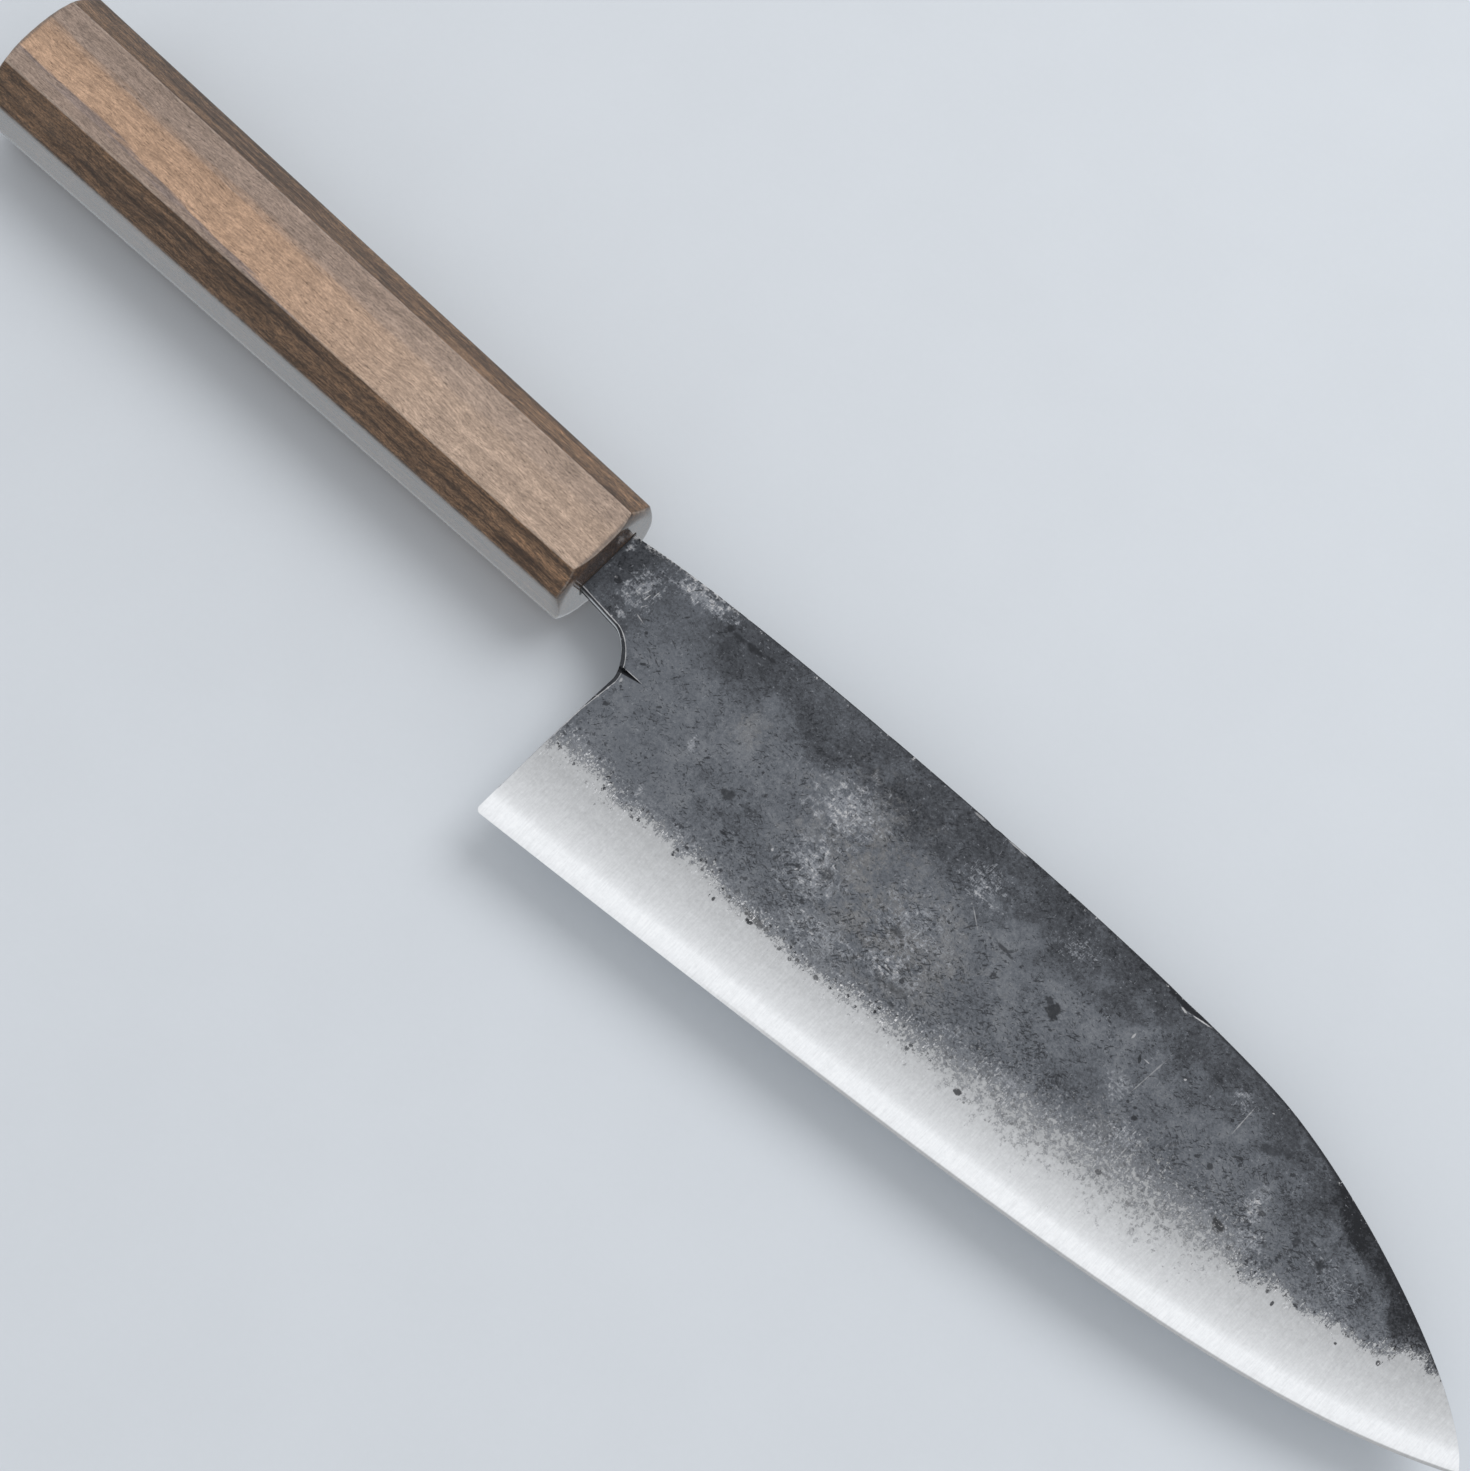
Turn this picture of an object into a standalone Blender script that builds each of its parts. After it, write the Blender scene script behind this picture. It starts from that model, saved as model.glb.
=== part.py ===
"""Santoku kitchen knife: a three-layer forged blade, its tang bedded in a plain octagonal wooden handle.

All sizes are in metres. The knife lies on its left side: X runs from the butt to the tip, Y from the
cutting edge to the spine, and Z out of the right face of the blade. While the pieces are made, the zero
of X, Y and Z is where the handle's axis leaves the handle's mouth, and the blade's middle plane is Z = 0.
At the end the whole knife is set down, so that the middle of its lowest level is at the origin.
"""

import bisect
import math

import bmesh
import bpy
from mathutils import Vector

# Outline of the neck and of the choil, the back of the blade
NECK_LENGTH = 0.0074  # straight underside, from the handle's mouth to the choil's curve
NECK_TOP = 0.0061  # from the axis up to the neck's upper side, at the mouth
NECK_BOTTOM = 0.0052  # from the axis down to its underside, at the mouth
NECK_DROOP = 0.0007  # how far the underside falls before the choil's curve begins
CURVE_LENGTH = 0.0056  # run of the curve from the underside down into the choil
CURVE_DROP = 0.0065  # fall of the same curve
CURVE_HOLD_NECK = 0.38  # share of its run that keeps to the underside's slope
CURVE_HOLD_CHOIL = 0.40  # share of its fall that keeps to the choil
CHOIL_LEAN = 0.0006  # how far the choil's lower end stands back towards the handle

# Outline of the blade
BLADE_LENGTH = 0.1637  # from the heel to the tip, along X
HEEL_DROP = 0.0403  # from the axis down to the edge, at the heel
HEEL_RADIUS = 0.0008  # rounding of the heel's corner
HEEL_SLOPE = 0.082  # rise of the edge over its run, at the heel
HEEL_HOLD = 0.65  # share of the edge's run that is steered by that slope
TIP_DROP = 0.0153  # from the axis down to the tip
TIP_EDGE_SLOPE = 0.477  # slope of the edge where it reaches the tip
TIP_EDGE_HOLD = 0.16
SPINE_START_SLOPE = 0.183  # slope of the spine where it leaves the mouth
SPINE_START_HOLD = 0.22
CROWN_DISTANCE = 0.0714  # from the choil to the highest point of the spine
CROWN_HEIGHT = 0.00985  # from the axis up to that point
CROWN_HOLD = 0.17  # the flat stretch behind it
CROWN_HOLD_AHEAD = 0.22  # and the one ahead of it
NOSE_LENGTH = 0.0502  # from the start of the spine's final fall to the tip
NOSE_HEIGHT = 0.00785  # from the axis up to the spine there
NOSE_SLOPE = -0.16
NOSE_HOLD = 0.23
NOSE_HOLD_AHEAD = 0.33
TIP_SPINE_SLOPE = -1.79  # slope of the spine where it reaches the tip
TIP_SPINE_HOLD = 0.095

# Thickness of the blade, and the heights of the lines where its bevel changes
NECK_THICKNESS = 0.0026  # over all three layers, at the mouth
SHOULDER_THICKNESS = 0.0019  # over all three layers, where the flat side meets the bevel
CORE_THICKNESS = 0.0008  # the hard middle layer
EDGE_THICKNESS = 0.0001  # the width left at the very edge
SHOULDER_HEIGHT = 0.0125  # from the edge up to the top of the bevel
BARE_CORE_AT_HEEL = 0.0045  # height of the strip where the core shows, at the heel
BARE_CORE_AT_TIP = 0.0030  # and near the tip

# Easing of the blade's outer corners
SPINE_EASING = 0.0003  # width and depth of the flat along the spine
SPINE_EASING_SHARE = 0.5  # most that the flat may take of a layer that thins out
NECK_EASING = 0.0002  # the same along the neck's underside
CHOIL_EASING_WIDTH = 0.0007  # the broader flat round the choil's curve
CHOIL_EASING_DEPTH = 0.0005
CHOIL_EASING_FADE = 0.0070  # how far below the curve that flat has faded out

# Small nick across the top of the choil, on the right face
NICK_DROP = 0.0101  # from the axis down to its straight upper side
NICK_LENGTH = 0.0042
NICK_WIDTH = 0.0010
NICK_DEPTH = 0.0005

# Tang, the part of the blade inside the handle
TANG_LENGTH = 0.0850  # from the mouth to the tang's end
TANG_END_TOP = 0.0030  # from the axis up to its upper side, at its end
TANG_END_BOTTOM = 0.0028
TANG_END_THICKNESS = 0.0018

# Octagonal handle, tapered from butt to mouth
HANDLE_LENGTH = 0.1192
MOUTH_WIDTH = 0.0202  # along Y, over the flats
MOUTH_THICKNESS = 0.0171  # along Z, over the flats
MOUTH_BEVEL = 0.00415  # what each slanting facet takes off both ways
BUTT_WIDTH = 0.0236
BUTT_THICKNESS = 0.0203
BUTT_BEVEL = 0.0049
END_EASING_DEPTH = 0.0011  # how far back the end faces are rounded at the handle's corners
END_EASING_START = 0.97  # size of the flat middle of an end face, in shares of the handle's half width
END_EASING_REACH = 1.18  # the same share where the rounding is deepest
END_EASING_POWER = 1.5  # how the rounding steepens towards the corners

# Bedding of the tang and seal of the mouth
BEDDING_WALL = 0.0008  # resin on every side of the tang
BEDDING_END = 0.0030  # resin beyond the tang's end
SEAL_WIDTH = 0.0003  # visible line of the seal round the neck
SEAL_DEPTH = 0.0020
SEAL_STAND = 0.0001  # how far the seal stands out of the mouth
FIT = 0.00002  # clearance left between pieces that are fitted to the tang and the bore

# Fineness of the curves and shading
CURVE_SAMPLES = 200
HEEL_STATIONS = 5
BLADE_STATIONS = 34
BARE_STATIONS = 8
TIP_STATIONS = 6
CHOIL_STATIONS = 9
TANG_STATIONS = 6
EASING_STATIONS = 5
EASING_SIDES = 64
HALVINGS = 60  # steps of a search between two ends
SAME_PLACE = 8  # decimals of a metre to which points count as one
SHARP_ANGLE = 20  # degrees between faces from which an edge is shaded sharp

CHOIL_X = NECK_LENGTH + CURVE_LENGTH
CURVE_TOP = -NECK_BOTTOM - NECK_DROOP
CHOIL_TOP = CURVE_TOP - CURVE_DROP
FADE_END = CHOIL_TOP - CHOIL_EASING_FADE
HEEL_X = CHOIL_X - CHOIL_LEAN
TIP = (HEEL_X + BLADE_LENGTH, -TIP_DROP)
HALF_CORE = CORE_THICKNESS / 2


def clear_scene():
    """Empties the scene that the script is run in."""
    for thing in list(bpy.data.objects):
        bpy.data.objects.remove(thing, do_unlink=True)


def mix(start, end, share):
    """The value a share of the way from start to end."""
    return start + (end - start) * share


def interpolate(place, places, values):
    """Straight-line interpolation in a rising list of places, held level beyond its ends."""
    if place <= places[0]:
        return values[0]
    if place >= places[-1]:
        return values[-1]
    right = bisect.bisect_right(places, place)
    share = (place - places[right - 1]) / (places[right] - places[right - 1])
    return mix(values[right - 1], values[right], share)


def cubic_curve(corners, steps):
    """Points of a smooth curve that leaves the first of four corners for the second and ends at the fourth."""
    points = []
    for step in range(steps + 1):
        ahead = step / steps
        back = 1 - ahead
        weights = (back**3, 3 * back**2 * ahead, 3 * back * ahead**2, ahead**3)
        points.append(tuple(sum(w * c[axis] for w, c in zip(weights, corners)) for axis in (0, 1)))
    return points


def swept_curve(start, start_slope, start_hold, end, end_slope, end_hold):
    """Points of a curve from start to end, held to a slope at each end for a share of its run."""
    run = end[0] - start[0]
    first = (start[0] + run * start_hold, start[1] + run * start_hold * start_slope)
    second = (end[0] - run * end_hold, end[1] - run * end_hold * end_slope)
    return cubic_curve((start, first, second, end), CURVE_SAMPLES)


def make_spine():
    """The spine in three sweeps: up from the neck, level past the crown, down to the tip."""
    mouth = (0.0, NECK_TOP)
    crown = (CHOIL_X + CROWN_DISTANCE, CROWN_HEIGHT)
    nose = (TIP[0] - NOSE_LENGTH, NOSE_HEIGHT)
    rise = swept_curve(mouth, SPINE_START_SLOPE, SPINE_START_HOLD, crown, 0.0, CROWN_HOLD)
    level = swept_curve(crown, 0.0, CROWN_HOLD_AHEAD, nose, NOSE_SLOPE, NOSE_HOLD)
    fall = swept_curve(nose, NOSE_SLOPE, NOSE_HOLD_AHEAD, TIP, TIP_SPINE_SLOPE, TIP_SPINE_HOLD)
    return rise + level[1:] + fall[1:]


def make_edge():
    """The cutting edge, one long sweep from the heel to the tip."""
    heel = (HEEL_X, -HEEL_DROP)
    return swept_curve(heel, HEEL_SLOPE, HEEL_HOLD, TIP, TIP_EDGE_SLOPE, TIP_EDGE_HOLD)


def make_choil_curve():
    """The curve from the neck's underside down into the choil."""
    start = (NECK_LENGTH, CURVE_TOP)
    reach = CURVE_LENGTH * CURVE_HOLD_NECK
    first = (NECK_LENGTH + reach, CURVE_TOP - reach * NECK_DROOP / NECK_LENGTH)
    second = (CHOIL_X, CHOIL_TOP + CURVE_DROP * CURVE_HOLD_CHOIL)
    return cubic_curve((start, first, second, (CHOIL_X, CHOIL_TOP)), CHOIL_STATIONS)


SPINE = tuple(zip(*make_spine()))
EDGE = tuple(zip(*make_edge()))


def spine_height(x):
    """Y of the spine above x."""
    return interpolate(x, SPINE[0], SPINE[1])


def edge_height(x):
    """Y of the cutting edge at x, before the heel's corner is rounded."""
    return interpolate(x, EDGE[0], EDGE[1])


def rounded_edge_height(x):
    """Y of the cutting edge at x, with the heel's corner rounded."""
    short_of_round = x - HEEL_X - HEEL_RADIUS
    if short_of_round >= 0:
        return edge_height(x)
    middle = edge_height(HEEL_X + HEEL_RADIUS) + HEEL_RADIUS
    return middle - math.sqrt(max(HEEL_RADIUS**2 - short_of_round**2, 0.0))


def bare_core_height(x):
    """Height of the strip of bare core above the edge at x."""
    return mix(BARE_CORE_AT_HEEL, BARE_CORE_AT_TIP, (x - HEEL_X) / BLADE_LENGTH)


def choil_x(y):
    """X of the choil at y, a straight line from the heel up to the curve."""
    return interpolate(y, (edge_height(HEEL_X), CHOIL_TOP), (HEEL_X, CHOIL_X))


def choil_easing(y):
    """Share of the choil's full easing that is left at y."""
    return interpolate(y, (FADE_END, CHOIL_TOP), (0.0, 1.0))


def meeting(line_height):
    """X where a line that runs line_height(x) above the edge meets the spine, short of the tip."""
    low = HEEL_X
    high = TIP[0]
    for _ in range(HALVINGS):
        middle = (low + high) / 2
        if spine_height(middle) - edge_height(middle) > line_height(middle):
            low = middle
        else:
            high = middle
    return low


SHOULDER_END = meeting(lambda x: SHOULDER_HEIGHT)
CLADDING_END = meeting(bare_core_height)


def blade_half_thickness(x, y):
    """Half of the blade's thickness at a point ahead of the choil."""
    levels = [0.0, bare_core_height(x), SHOULDER_HEIGHT]
    halves = [EDGE_THICKNESS / 2, HALF_CORE, SHOULDER_THICKNESS / 2]
    height = spine_height(x) - edge_height(x)
    if height > SHOULDER_HEIGHT:
        levels.append(height)
        halves.append(mix(NECK_THICKNESS, SHOULDER_THICKNESS, x / SHOULDER_END) / 2)
    return interpolate(y - edge_height(x), levels, halves)


def half_thickness(x, y):
    """Half of the blade's thickness anywhere on the blade, its neck or its tang, before easing."""
    if x <= 0:
        return mix(NECK_THICKNESS, TANG_END_THICKNESS, -x / TANG_LENGTH) / 2
    if x >= HEEL_X:
        return blade_half_thickness(x, y)
    return mix(NECK_THICKNESS / 2, blade_half_thickness(HEEL_X, y), x / HEEL_X)


def spine_easing(x):
    """Size of the flat along the spine at x, smaller where the outer layers thin out."""
    layer = half_thickness(x, spine_height(x)) - HALF_CORE
    return min(SPINE_EASING, max(layer, 0.0) * SPINE_EASING_SHARE)


def tang_limits(x):
    """Lowest Y, highest Y and half thickness of the tang's flat sides at x."""
    share = -x / TANG_LENGTH
    low = -mix(NECK_BOTTOM, TANG_END_BOTTOM, share)
    high = mix(NECK_TOP, TANG_END_TOP, share)
    half = mix(NECK_THICKNESS, TANG_END_THICKNESS, share) / 2
    return low, high, half


def top_pair(x):
    """The two uppermost points of a row: the foot of the spine's easing and the spine itself.

    Every point of a row is X, Y and the depth that easing takes off the outer face there.
    """
    easing = spine_easing(x)
    return [(x, spine_height(x) - easing, 0.0), (x, spine_height(x), easing)]


def blade_row(x):
    """Points across the blade: edge, top of the bare core, shoulder, two levels of the choil, top pair."""
    foot = spine_height(x) - spine_easing(x)
    shoulder = min(edge_height(x) + SHOULDER_HEIGHT, foot)
    heel_shoulder = edge_height(HEEL_X) + SHOULDER_HEIGHT
    heel_foot = spine_height(HEEL_X) - spine_easing(HEEL_X)
    levels = [rounded_edge_height(x), min(edge_height(x) + bare_core_height(x), foot), shoulder]
    for choil_level in (FADE_END, CHOIL_TOP):
        share = (choil_level - heel_shoulder) / (heel_foot - heel_shoulder)
        levels.append(mix(shoulder, foot, share))
    # Near the choil a row leans with it, and further on it stands upright.
    lean = max(0.0, 1 - (x - HEEL_X) / CURVE_DROP)
    row = []
    for y in levels:
        shift = choil_x(y) + choil_easing(y) * CHOIL_EASING_WIDTH - HEEL_X
        row.append((x + shift * lean, y, 0.0))
    return row + top_pair(x + (CHOIL_X + CHOIL_EASING_WIDTH - HEEL_X) * lean)


def blade_rows():
    """The rows of points across the blade ahead of the choil, closer together at both ends."""
    stretches = (
        (HEEL_X + HEEL_RADIUS, SHOULDER_END, BLADE_STATIONS),
        (SHOULDER_END, CLADDING_END, BARE_STATIONS),
        (CLADDING_END, TIP[0], TIP_STATIONS),
    )
    stations = []
    for step in range(HEEL_STATIONS):
        angle = math.pi / 2 * step / HEEL_STATIONS
        stations.append(HEEL_X + HEEL_RADIUS * (1 - math.cos(angle)))
    for start, end, count in stretches:
        stations.extend(mix(start, end, step / count) for step in range(count))
    stations.append(TIP[0])
    return [blade_row(x) for x in stations]


def choil_rows():
    """The choil's own outline, and beside it the first row of the blade, where its easing ends."""
    first = blade_row(HEEL_X)[:-2]
    outline = [(choil_x(y), y, choil_easing(y) * CHOIL_EASING_DEPTH) for _, y, _ in first]
    return [outline, first]


def neck_rows():
    """Rows of four points across the tang and the neck: underside, head of its easing, top pair."""
    rows = []
    for step in range(TANG_STATIONS):
        x = -TANG_LENGTH * (1 - step / TANG_STATIONS)
        low, high, _ = tang_limits(x)
        rows.append([(x, low, 0.0)] * 2 + [(x, high, 0.0)] * 2)
    rows.append([(0.0, -NECK_BOTTOM, 0.0)] * 2 + [(0.0, NECK_TOP, 0.0)] * 2)
    path = [(x, mix(-NECK_BOTTOM, CURVE_TOP, x / NECK_LENGTH)) for x in (0.0, NECK_EASING, NECK_LENGTH / 2)]
    path += make_choil_curve()
    for before, place, after in zip(path, path[1:], path[2:]):
        along = Vector(after) - Vector(before)
        inward = Vector((-along.y, along.x)).normalized()
        round_curve = math.sin(math.pi / 2 * max(place[0] - NECK_LENGTH, 0.0) / CURVE_LENGTH)
        width = mix(NECK_EASING, CHOIL_EASING_WIDTH, round_curve)
        depth = mix(NECK_EASING, CHOIL_EASING_DEPTH, round_curve)
        head = Vector(place) + inward * width
        rows.append([(*place, depth), (*head, 0.0), *top_pair(head.x)])
    rows.append([(CHOIL_X, CHOIL_TOP, CHOIL_EASING_DEPTH), *blade_row(HEEL_X)[-3:]])
    return rows


class Sheet:
    """A flat sheet of joined cells, which becomes a solid between a lower and an upper surface."""

    def __init__(self):
        self.points = []
        self.cells = []
        self.known = {}

    def point(self, place):
        """The number of the point at this place, shared by all cells that meet there."""
        key = (round(place[0], SAME_PLACE), round(place[1], SAME_PLACE))
        if key not in self.known:
            self.known[key] = len(self.points)
            self.points.append(place)
        return self.known[key]

    def add_rows(self, rows):
        """Joins neighbouring rows of points with cells. Points that fall together make a triangle."""
        for row, following in zip(rows, rows[1:]):
            for low in range(len(row) - 1):
                around = (row[low], following[low], following[low + 1], row[low + 1])
                cell = list(dict.fromkeys(self.point(place) for place in around))
                if len(cell) > 2:
                    self.cells.append(cell)

    def border(self):
        """The directed sides of cells that no other cell shares."""
        sides = set()
        for cell in self.cells:
            sides.update(zip(cell, cell[1:] + cell[:1]))
        return [side for side in sides if (side[1], side[0]) not in sides]

    def solid(self, upper, lower):
        """A mesh closed by two surfaces, each a height for every point. Where they meet it has a thin edge."""
        mesh = bmesh.new()
        tops = []
        bottoms = []
        for place in self.points:
            high = upper(*place)
            low = lower(*place)
            top = mesh.verts.new((place[0], place[1], high))
            tops.append(top)
            closed = round(high - low, SAME_PLACE) <= 0
            bottoms.append(top if closed else mesh.verts.new((place[0], place[1], low)))
        for cell in self.cells:
            mesh.faces.new([tops[point] for point in cell])
            mesh.faces.new([bottoms[point] for point in reversed(cell)])
        for start, end in sorted(self.border()):
            around = (tops[end], tops[start], bottoms[start], bottoms[end])
            wall = list(dict.fromkeys(around))
            if len(wall) > 2:
                mesh.faces.new(wall)
        return mesh


def blade_sheet(lowest):
    """Tang, neck and blade as one sheet, without the levels of the blade below the given one."""
    sheet = Sheet()
    sheet.add_rows(neck_rows())
    for rows in (choil_rows(), blade_rows()):
        sheet.add_rows([row[lowest:] for row in rows])
    return sheet


def add_object(name, mesh, material):
    """Puts a finished bmesh into the scene under its name."""
    bmesh.ops.recalc_face_normals(mesh, faces=mesh.faces)
    data = bpy.data.meshes.new(name)
    mesh.to_mesh(data)
    mesh.free()
    thing = bpy.data.objects.new(name, data)
    bpy.context.scene.collection.objects.link(thing)
    if material is not None:
        data.materials.append(material)
    return thing


def add_cutter(name, mesh):
    """Adds a helper solid, which shapes others and is itself left out of renders."""
    cutter = add_object(name, mesh, None)
    cutter.hide_render = True
    cutter.display_type = "WIRE"
    return cutter


def combine(thing, other, operation):
    """Cuts thing with other, or keeps what the two share."""
    boolean = thing.modifiers.new(f"{operation.lower()} {other.name}", "BOOLEAN")
    boolean.operation = operation
    boolean.object = other
    boolean.solver = "EXACT"


def make_material(name, color, roughness, metallic):
    """A plain finish for one sub-part."""
    material = bpy.data.materials.new(name)
    material.use_nodes = True
    shader = material.node_tree.nodes["Principled BSDF"]
    shader.inputs["Base Color"].default_value = (*color, 1.0)
    shader.inputs["Roughness"].default_value = roughness
    shader.inputs["Metallic"].default_value = metallic
    material.diffuse_color = (*color, 1.0)
    return material


def make_core(material):
    """The hard middle layer, bare along the edge and running back through neck and tang."""

    def upper(x, y, taken):
        return min(half_thickness(x, y), HALF_CORE)

    mesh = blade_sheet(0).solid(upper, lambda x, y, taken: -upper(x, y, taken))
    return add_object("core_steel", mesh, material)


def make_cladding(name, side, material):
    """One soft outer layer, which thins out to nothing where the bare core begins."""

    def outer(x, y, taken):
        return max(half_thickness(x, y) - taken, HALF_CORE)

    sheet = blade_sheet(1)
    if side > 0:
        mesh = sheet.solid(outer, lambda x, y, taken: HALF_CORE)
    else:
        mesh = sheet.solid(lambda x, y, taken: -HALF_CORE, lambda x, y, taken: -outer(x, y, taken))
    return add_object(name, mesh, material)


def make_nick_cutter():
    """A slim wedge that leaves the nick: upright on its upper side, slanting on the lower one."""
    surface = half_thickness(CHOIL_X, -NICK_DROP)
    mesh = bmesh.new()
    # From its point on the face the wedge grows evenly, back past the choil and out of the face.
    mesh.verts.new((CHOIL_X + NICK_LENGTH, -NICK_DROP, surface))
    for down, out in ((0.0, 2.0), (4.0, 2.0), (0.0, -2.0)):
        mesh.verts.new((CHOIL_X - NICK_LENGTH, -NICK_DROP - down * NICK_WIDTH, surface + out * NICK_DEPTH))
    bmesh.ops.convex_hull(mesh, input=mesh.verts)
    return add_cutter("nick_cutter", mesh)


def bridge_rings(mesh, rings):
    """Skins a row of rings of equal length, and caps both ends."""
    for ring, following in zip(rings, rings[1:]):
        for corner in range(len(ring)):
            ahead = (corner + 1) % len(ring)
            mesh.faces.new((ring[corner], ring[ahead], following[ahead], following[corner]))
    mesh.faces.new(rings[0])
    mesh.faces.new(list(reversed(rings[-1])))


def tang_prism(start, end, grow):
    """A tapered box that follows the tang's flat sides from start to end, grown outwards on each side."""
    mesh = bmesh.new()
    rings = []
    for x in (start, end):
        low, high, half = tang_limits(x)
        below = low - grow
        above = high + grow
        out = half + grow
        corners = ((below, -out), (above, -out), (above, out), (below, out))
        rings.append([mesh.verts.new((x, y, z)) for y, z in corners])
    bridge_rings(mesh, rings)
    return mesh


def octagon(x, share):
    """The eight corners of the handle's section, a share of the way from the butt to the mouth."""
    half_width = mix(BUTT_WIDTH, MOUTH_WIDTH, share) / 2
    half_height = mix(BUTT_THICKNESS, MOUTH_THICKNESS, share) / 2
    bevel = mix(BUTT_BEVEL, MOUTH_BEVEL, share)
    corners = []
    for side_y, side_z in ((1, 1), (-1, 1), (-1, -1), (1, -1)):
        flat = (x, side_y * half_width, side_z * (half_height - bevel))
        top = (x, side_y * (half_width - bevel), side_z * half_height)
        corners.extend((flat, top) if side_y * side_z > 0 else (top, flat))
    return corners


def make_easing_body():
    """A long oval body with rounded ends. What the handle shares with it has softly rounded end faces."""
    mesh = bmesh.new()
    reach = END_EASING_REACH - END_EASING_START
    stations = []
    for step in range(EASING_STATIONS + 1):
        share = step / EASING_STATIONS
        stations.append((END_EASING_DEPTH * share**END_EASING_POWER, END_EASING_START + reach * share))
    # Past the rounding the body stands well clear of the handle's corners.
    stations.append((2 * END_EASING_DEPTH, END_EASING_REACH + 2 * reach))
    places = [(-HANDLE_LENGTH + back, size) for back, size in stations]
    places += [(-back, size) for back, size in reversed(stations)]
    rings = []
    for x, size in places:
        share = (x + HANDLE_LENGTH) / HANDLE_LENGTH
        half_width = mix(BUTT_WIDTH, MOUTH_WIDTH, share) / 2 * size
        half_height = mix(BUTT_THICKNESS, MOUTH_THICKNESS, share) / 2 * size
        ring = []
        for side in range(EASING_SIDES):
            angle = 2 * math.pi * (side + 0.5) / EASING_SIDES
            ring.append(mesh.verts.new((x, half_width * math.cos(angle), half_height * math.sin(angle))))
        rings.append(ring)
    bridge_rings(mesh, rings)
    return add_cutter("easing_body", mesh)


def make_handle(material, easing_body, bore):
    """The octagonal handle, one piece of wood with a bore for the tang that is open at the mouth."""
    mesh = bmesh.new()
    # The blank runs past both end faces of the rounded body, which gives it its length.
    rings = []
    for x in (-HANDLE_LENGTH - END_EASING_DEPTH, END_EASING_DEPTH):
        share = (x + HANDLE_LENGTH) / HANDLE_LENGTH
        rings.append([mesh.verts.new(corner) for corner in octagon(x, share)])
    bridge_rings(mesh, rings)
    handle = add_object("handle", mesh, material)
    combine(handle, easing_body, "INTERSECT")
    for cutter in bore:
        combine(handle, cutter, "DIFFERENCE")
    return handle


def make_bore():
    """The two hollows of the handle: a close slot for the seal, and behind it the room for the bedding."""
    seal_room = SEAL_WIDTH + 2 * FIT
    bed_room = BEDDING_WALL + 2 * FIT
    bed_start = -TANG_LENGTH - BEDDING_END - 2 * FIT
    slot = add_cutter("slot_cutter", tang_prism(-SEAL_DEPTH - 2 * FIT, END_EASING_DEPTH, seal_room))
    room = add_cutter("bedding_cutter", tang_prism(bed_start, -SEAL_DEPTH - FIT, bed_room))
    return slot, room


def make_bedding(material):
    """The resin that holds the tang in the handle, a sleeve closed at its far end."""
    outer = tang_prism(-TANG_LENGTH - BEDDING_END, -SEAL_DEPTH - 2 * FIT, BEDDING_WALL + FIT)
    bedding = add_object("tang_bedding", outer, material)
    inner = add_cutter("tang_room_cutter", tang_prism(-TANG_LENGTH - FIT, 0.0, FIT))
    combine(bedding, inner, "DIFFERENCE")
    return bedding


def make_seal(material):
    """The thin ring of wax that closes the slot round the neck."""
    seal = add_object("mouth_seal", tang_prism(-SEAL_DEPTH, SEAL_STAND, SEAL_WIDTH + FIT), material)
    inner = add_cutter("neck_room_cutter", tang_prism(-2 * SEAL_DEPTH, SEAL_DEPTH, FIT))
    combine(seal, inner, "DIFFERENCE")
    return seal


def smooth_shading(things):
    """Shades the pieces smooth, with sharp edges where faces meet at an angle."""
    for thing in things:
        thing.data.shade_smooth()
        thing.data.set_sharp_from_angle(angle=math.radians(SHARP_ANGLE))


def set_down(knife, things):
    """Moves the knife so that the middle of its lowest level is at the origin."""
    bpy.context.view_layer.update()
    graph = bpy.context.evaluated_depsgraph_get()
    corners = [Vector(corner) for thing in things for corner in thing.evaluated_get(graph).bound_box]
    low = Vector(min(corner[axis] for corner in corners) for axis in range(3))
    high = Vector(max(corner[axis] for corner in corners) for axis in range(3))
    knife.location = (-(low.x + high.x) / 2, -(low.y + high.y) / 2, -low.z)


def main():
    """Builds the knife."""
    clear_scene()
    core = make_core(make_material("core steel", (0.80, 0.80, 0.82), 0.25, 1.0))
    iron = make_material("black forged iron", (0.085, 0.090, 0.105), 0.45, 0.6)
    right = make_cladding("cladding_right", 1, iron)
    left = make_cladding("cladding_left", -1, iron)
    combine(right, make_nick_cutter(), "DIFFERENCE")
    handle = make_handle(make_material("walnut", (0.20, 0.11, 0.06), 0.40, 0.0), make_easing_body(), make_bore())
    bedding = make_bedding(make_material("bedding resin", (0.05, 0.03, 0.02), 0.50, 0.0))
    seal = make_seal(make_material("seal wax", (0.02, 0.015, 0.012), 0.35, 0.0))
    pieces = [core, right, left, handle, bedding, seal]
    smooth_shading(pieces)
    knife = bpy.data.objects.new("knife", None)
    bpy.context.scene.collection.objects.link(knife)
    for thing in bpy.context.scene.objects:
        if thing is not knife:
            thing.parent = knife
    set_down(knife, pieces)


main()
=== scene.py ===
"""Visual model of a santoku kitchen knife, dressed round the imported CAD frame.

The knife lies on its left side on a pale floor. Sizes in the classes are in millimetres, measured from
the mouth point, where the handle's axis leaves its front face: x runs towards the tip, y from the cutting
edge towards the spine, and z out of the right face, which looks up. Meshes are written in metres.
"""

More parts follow.
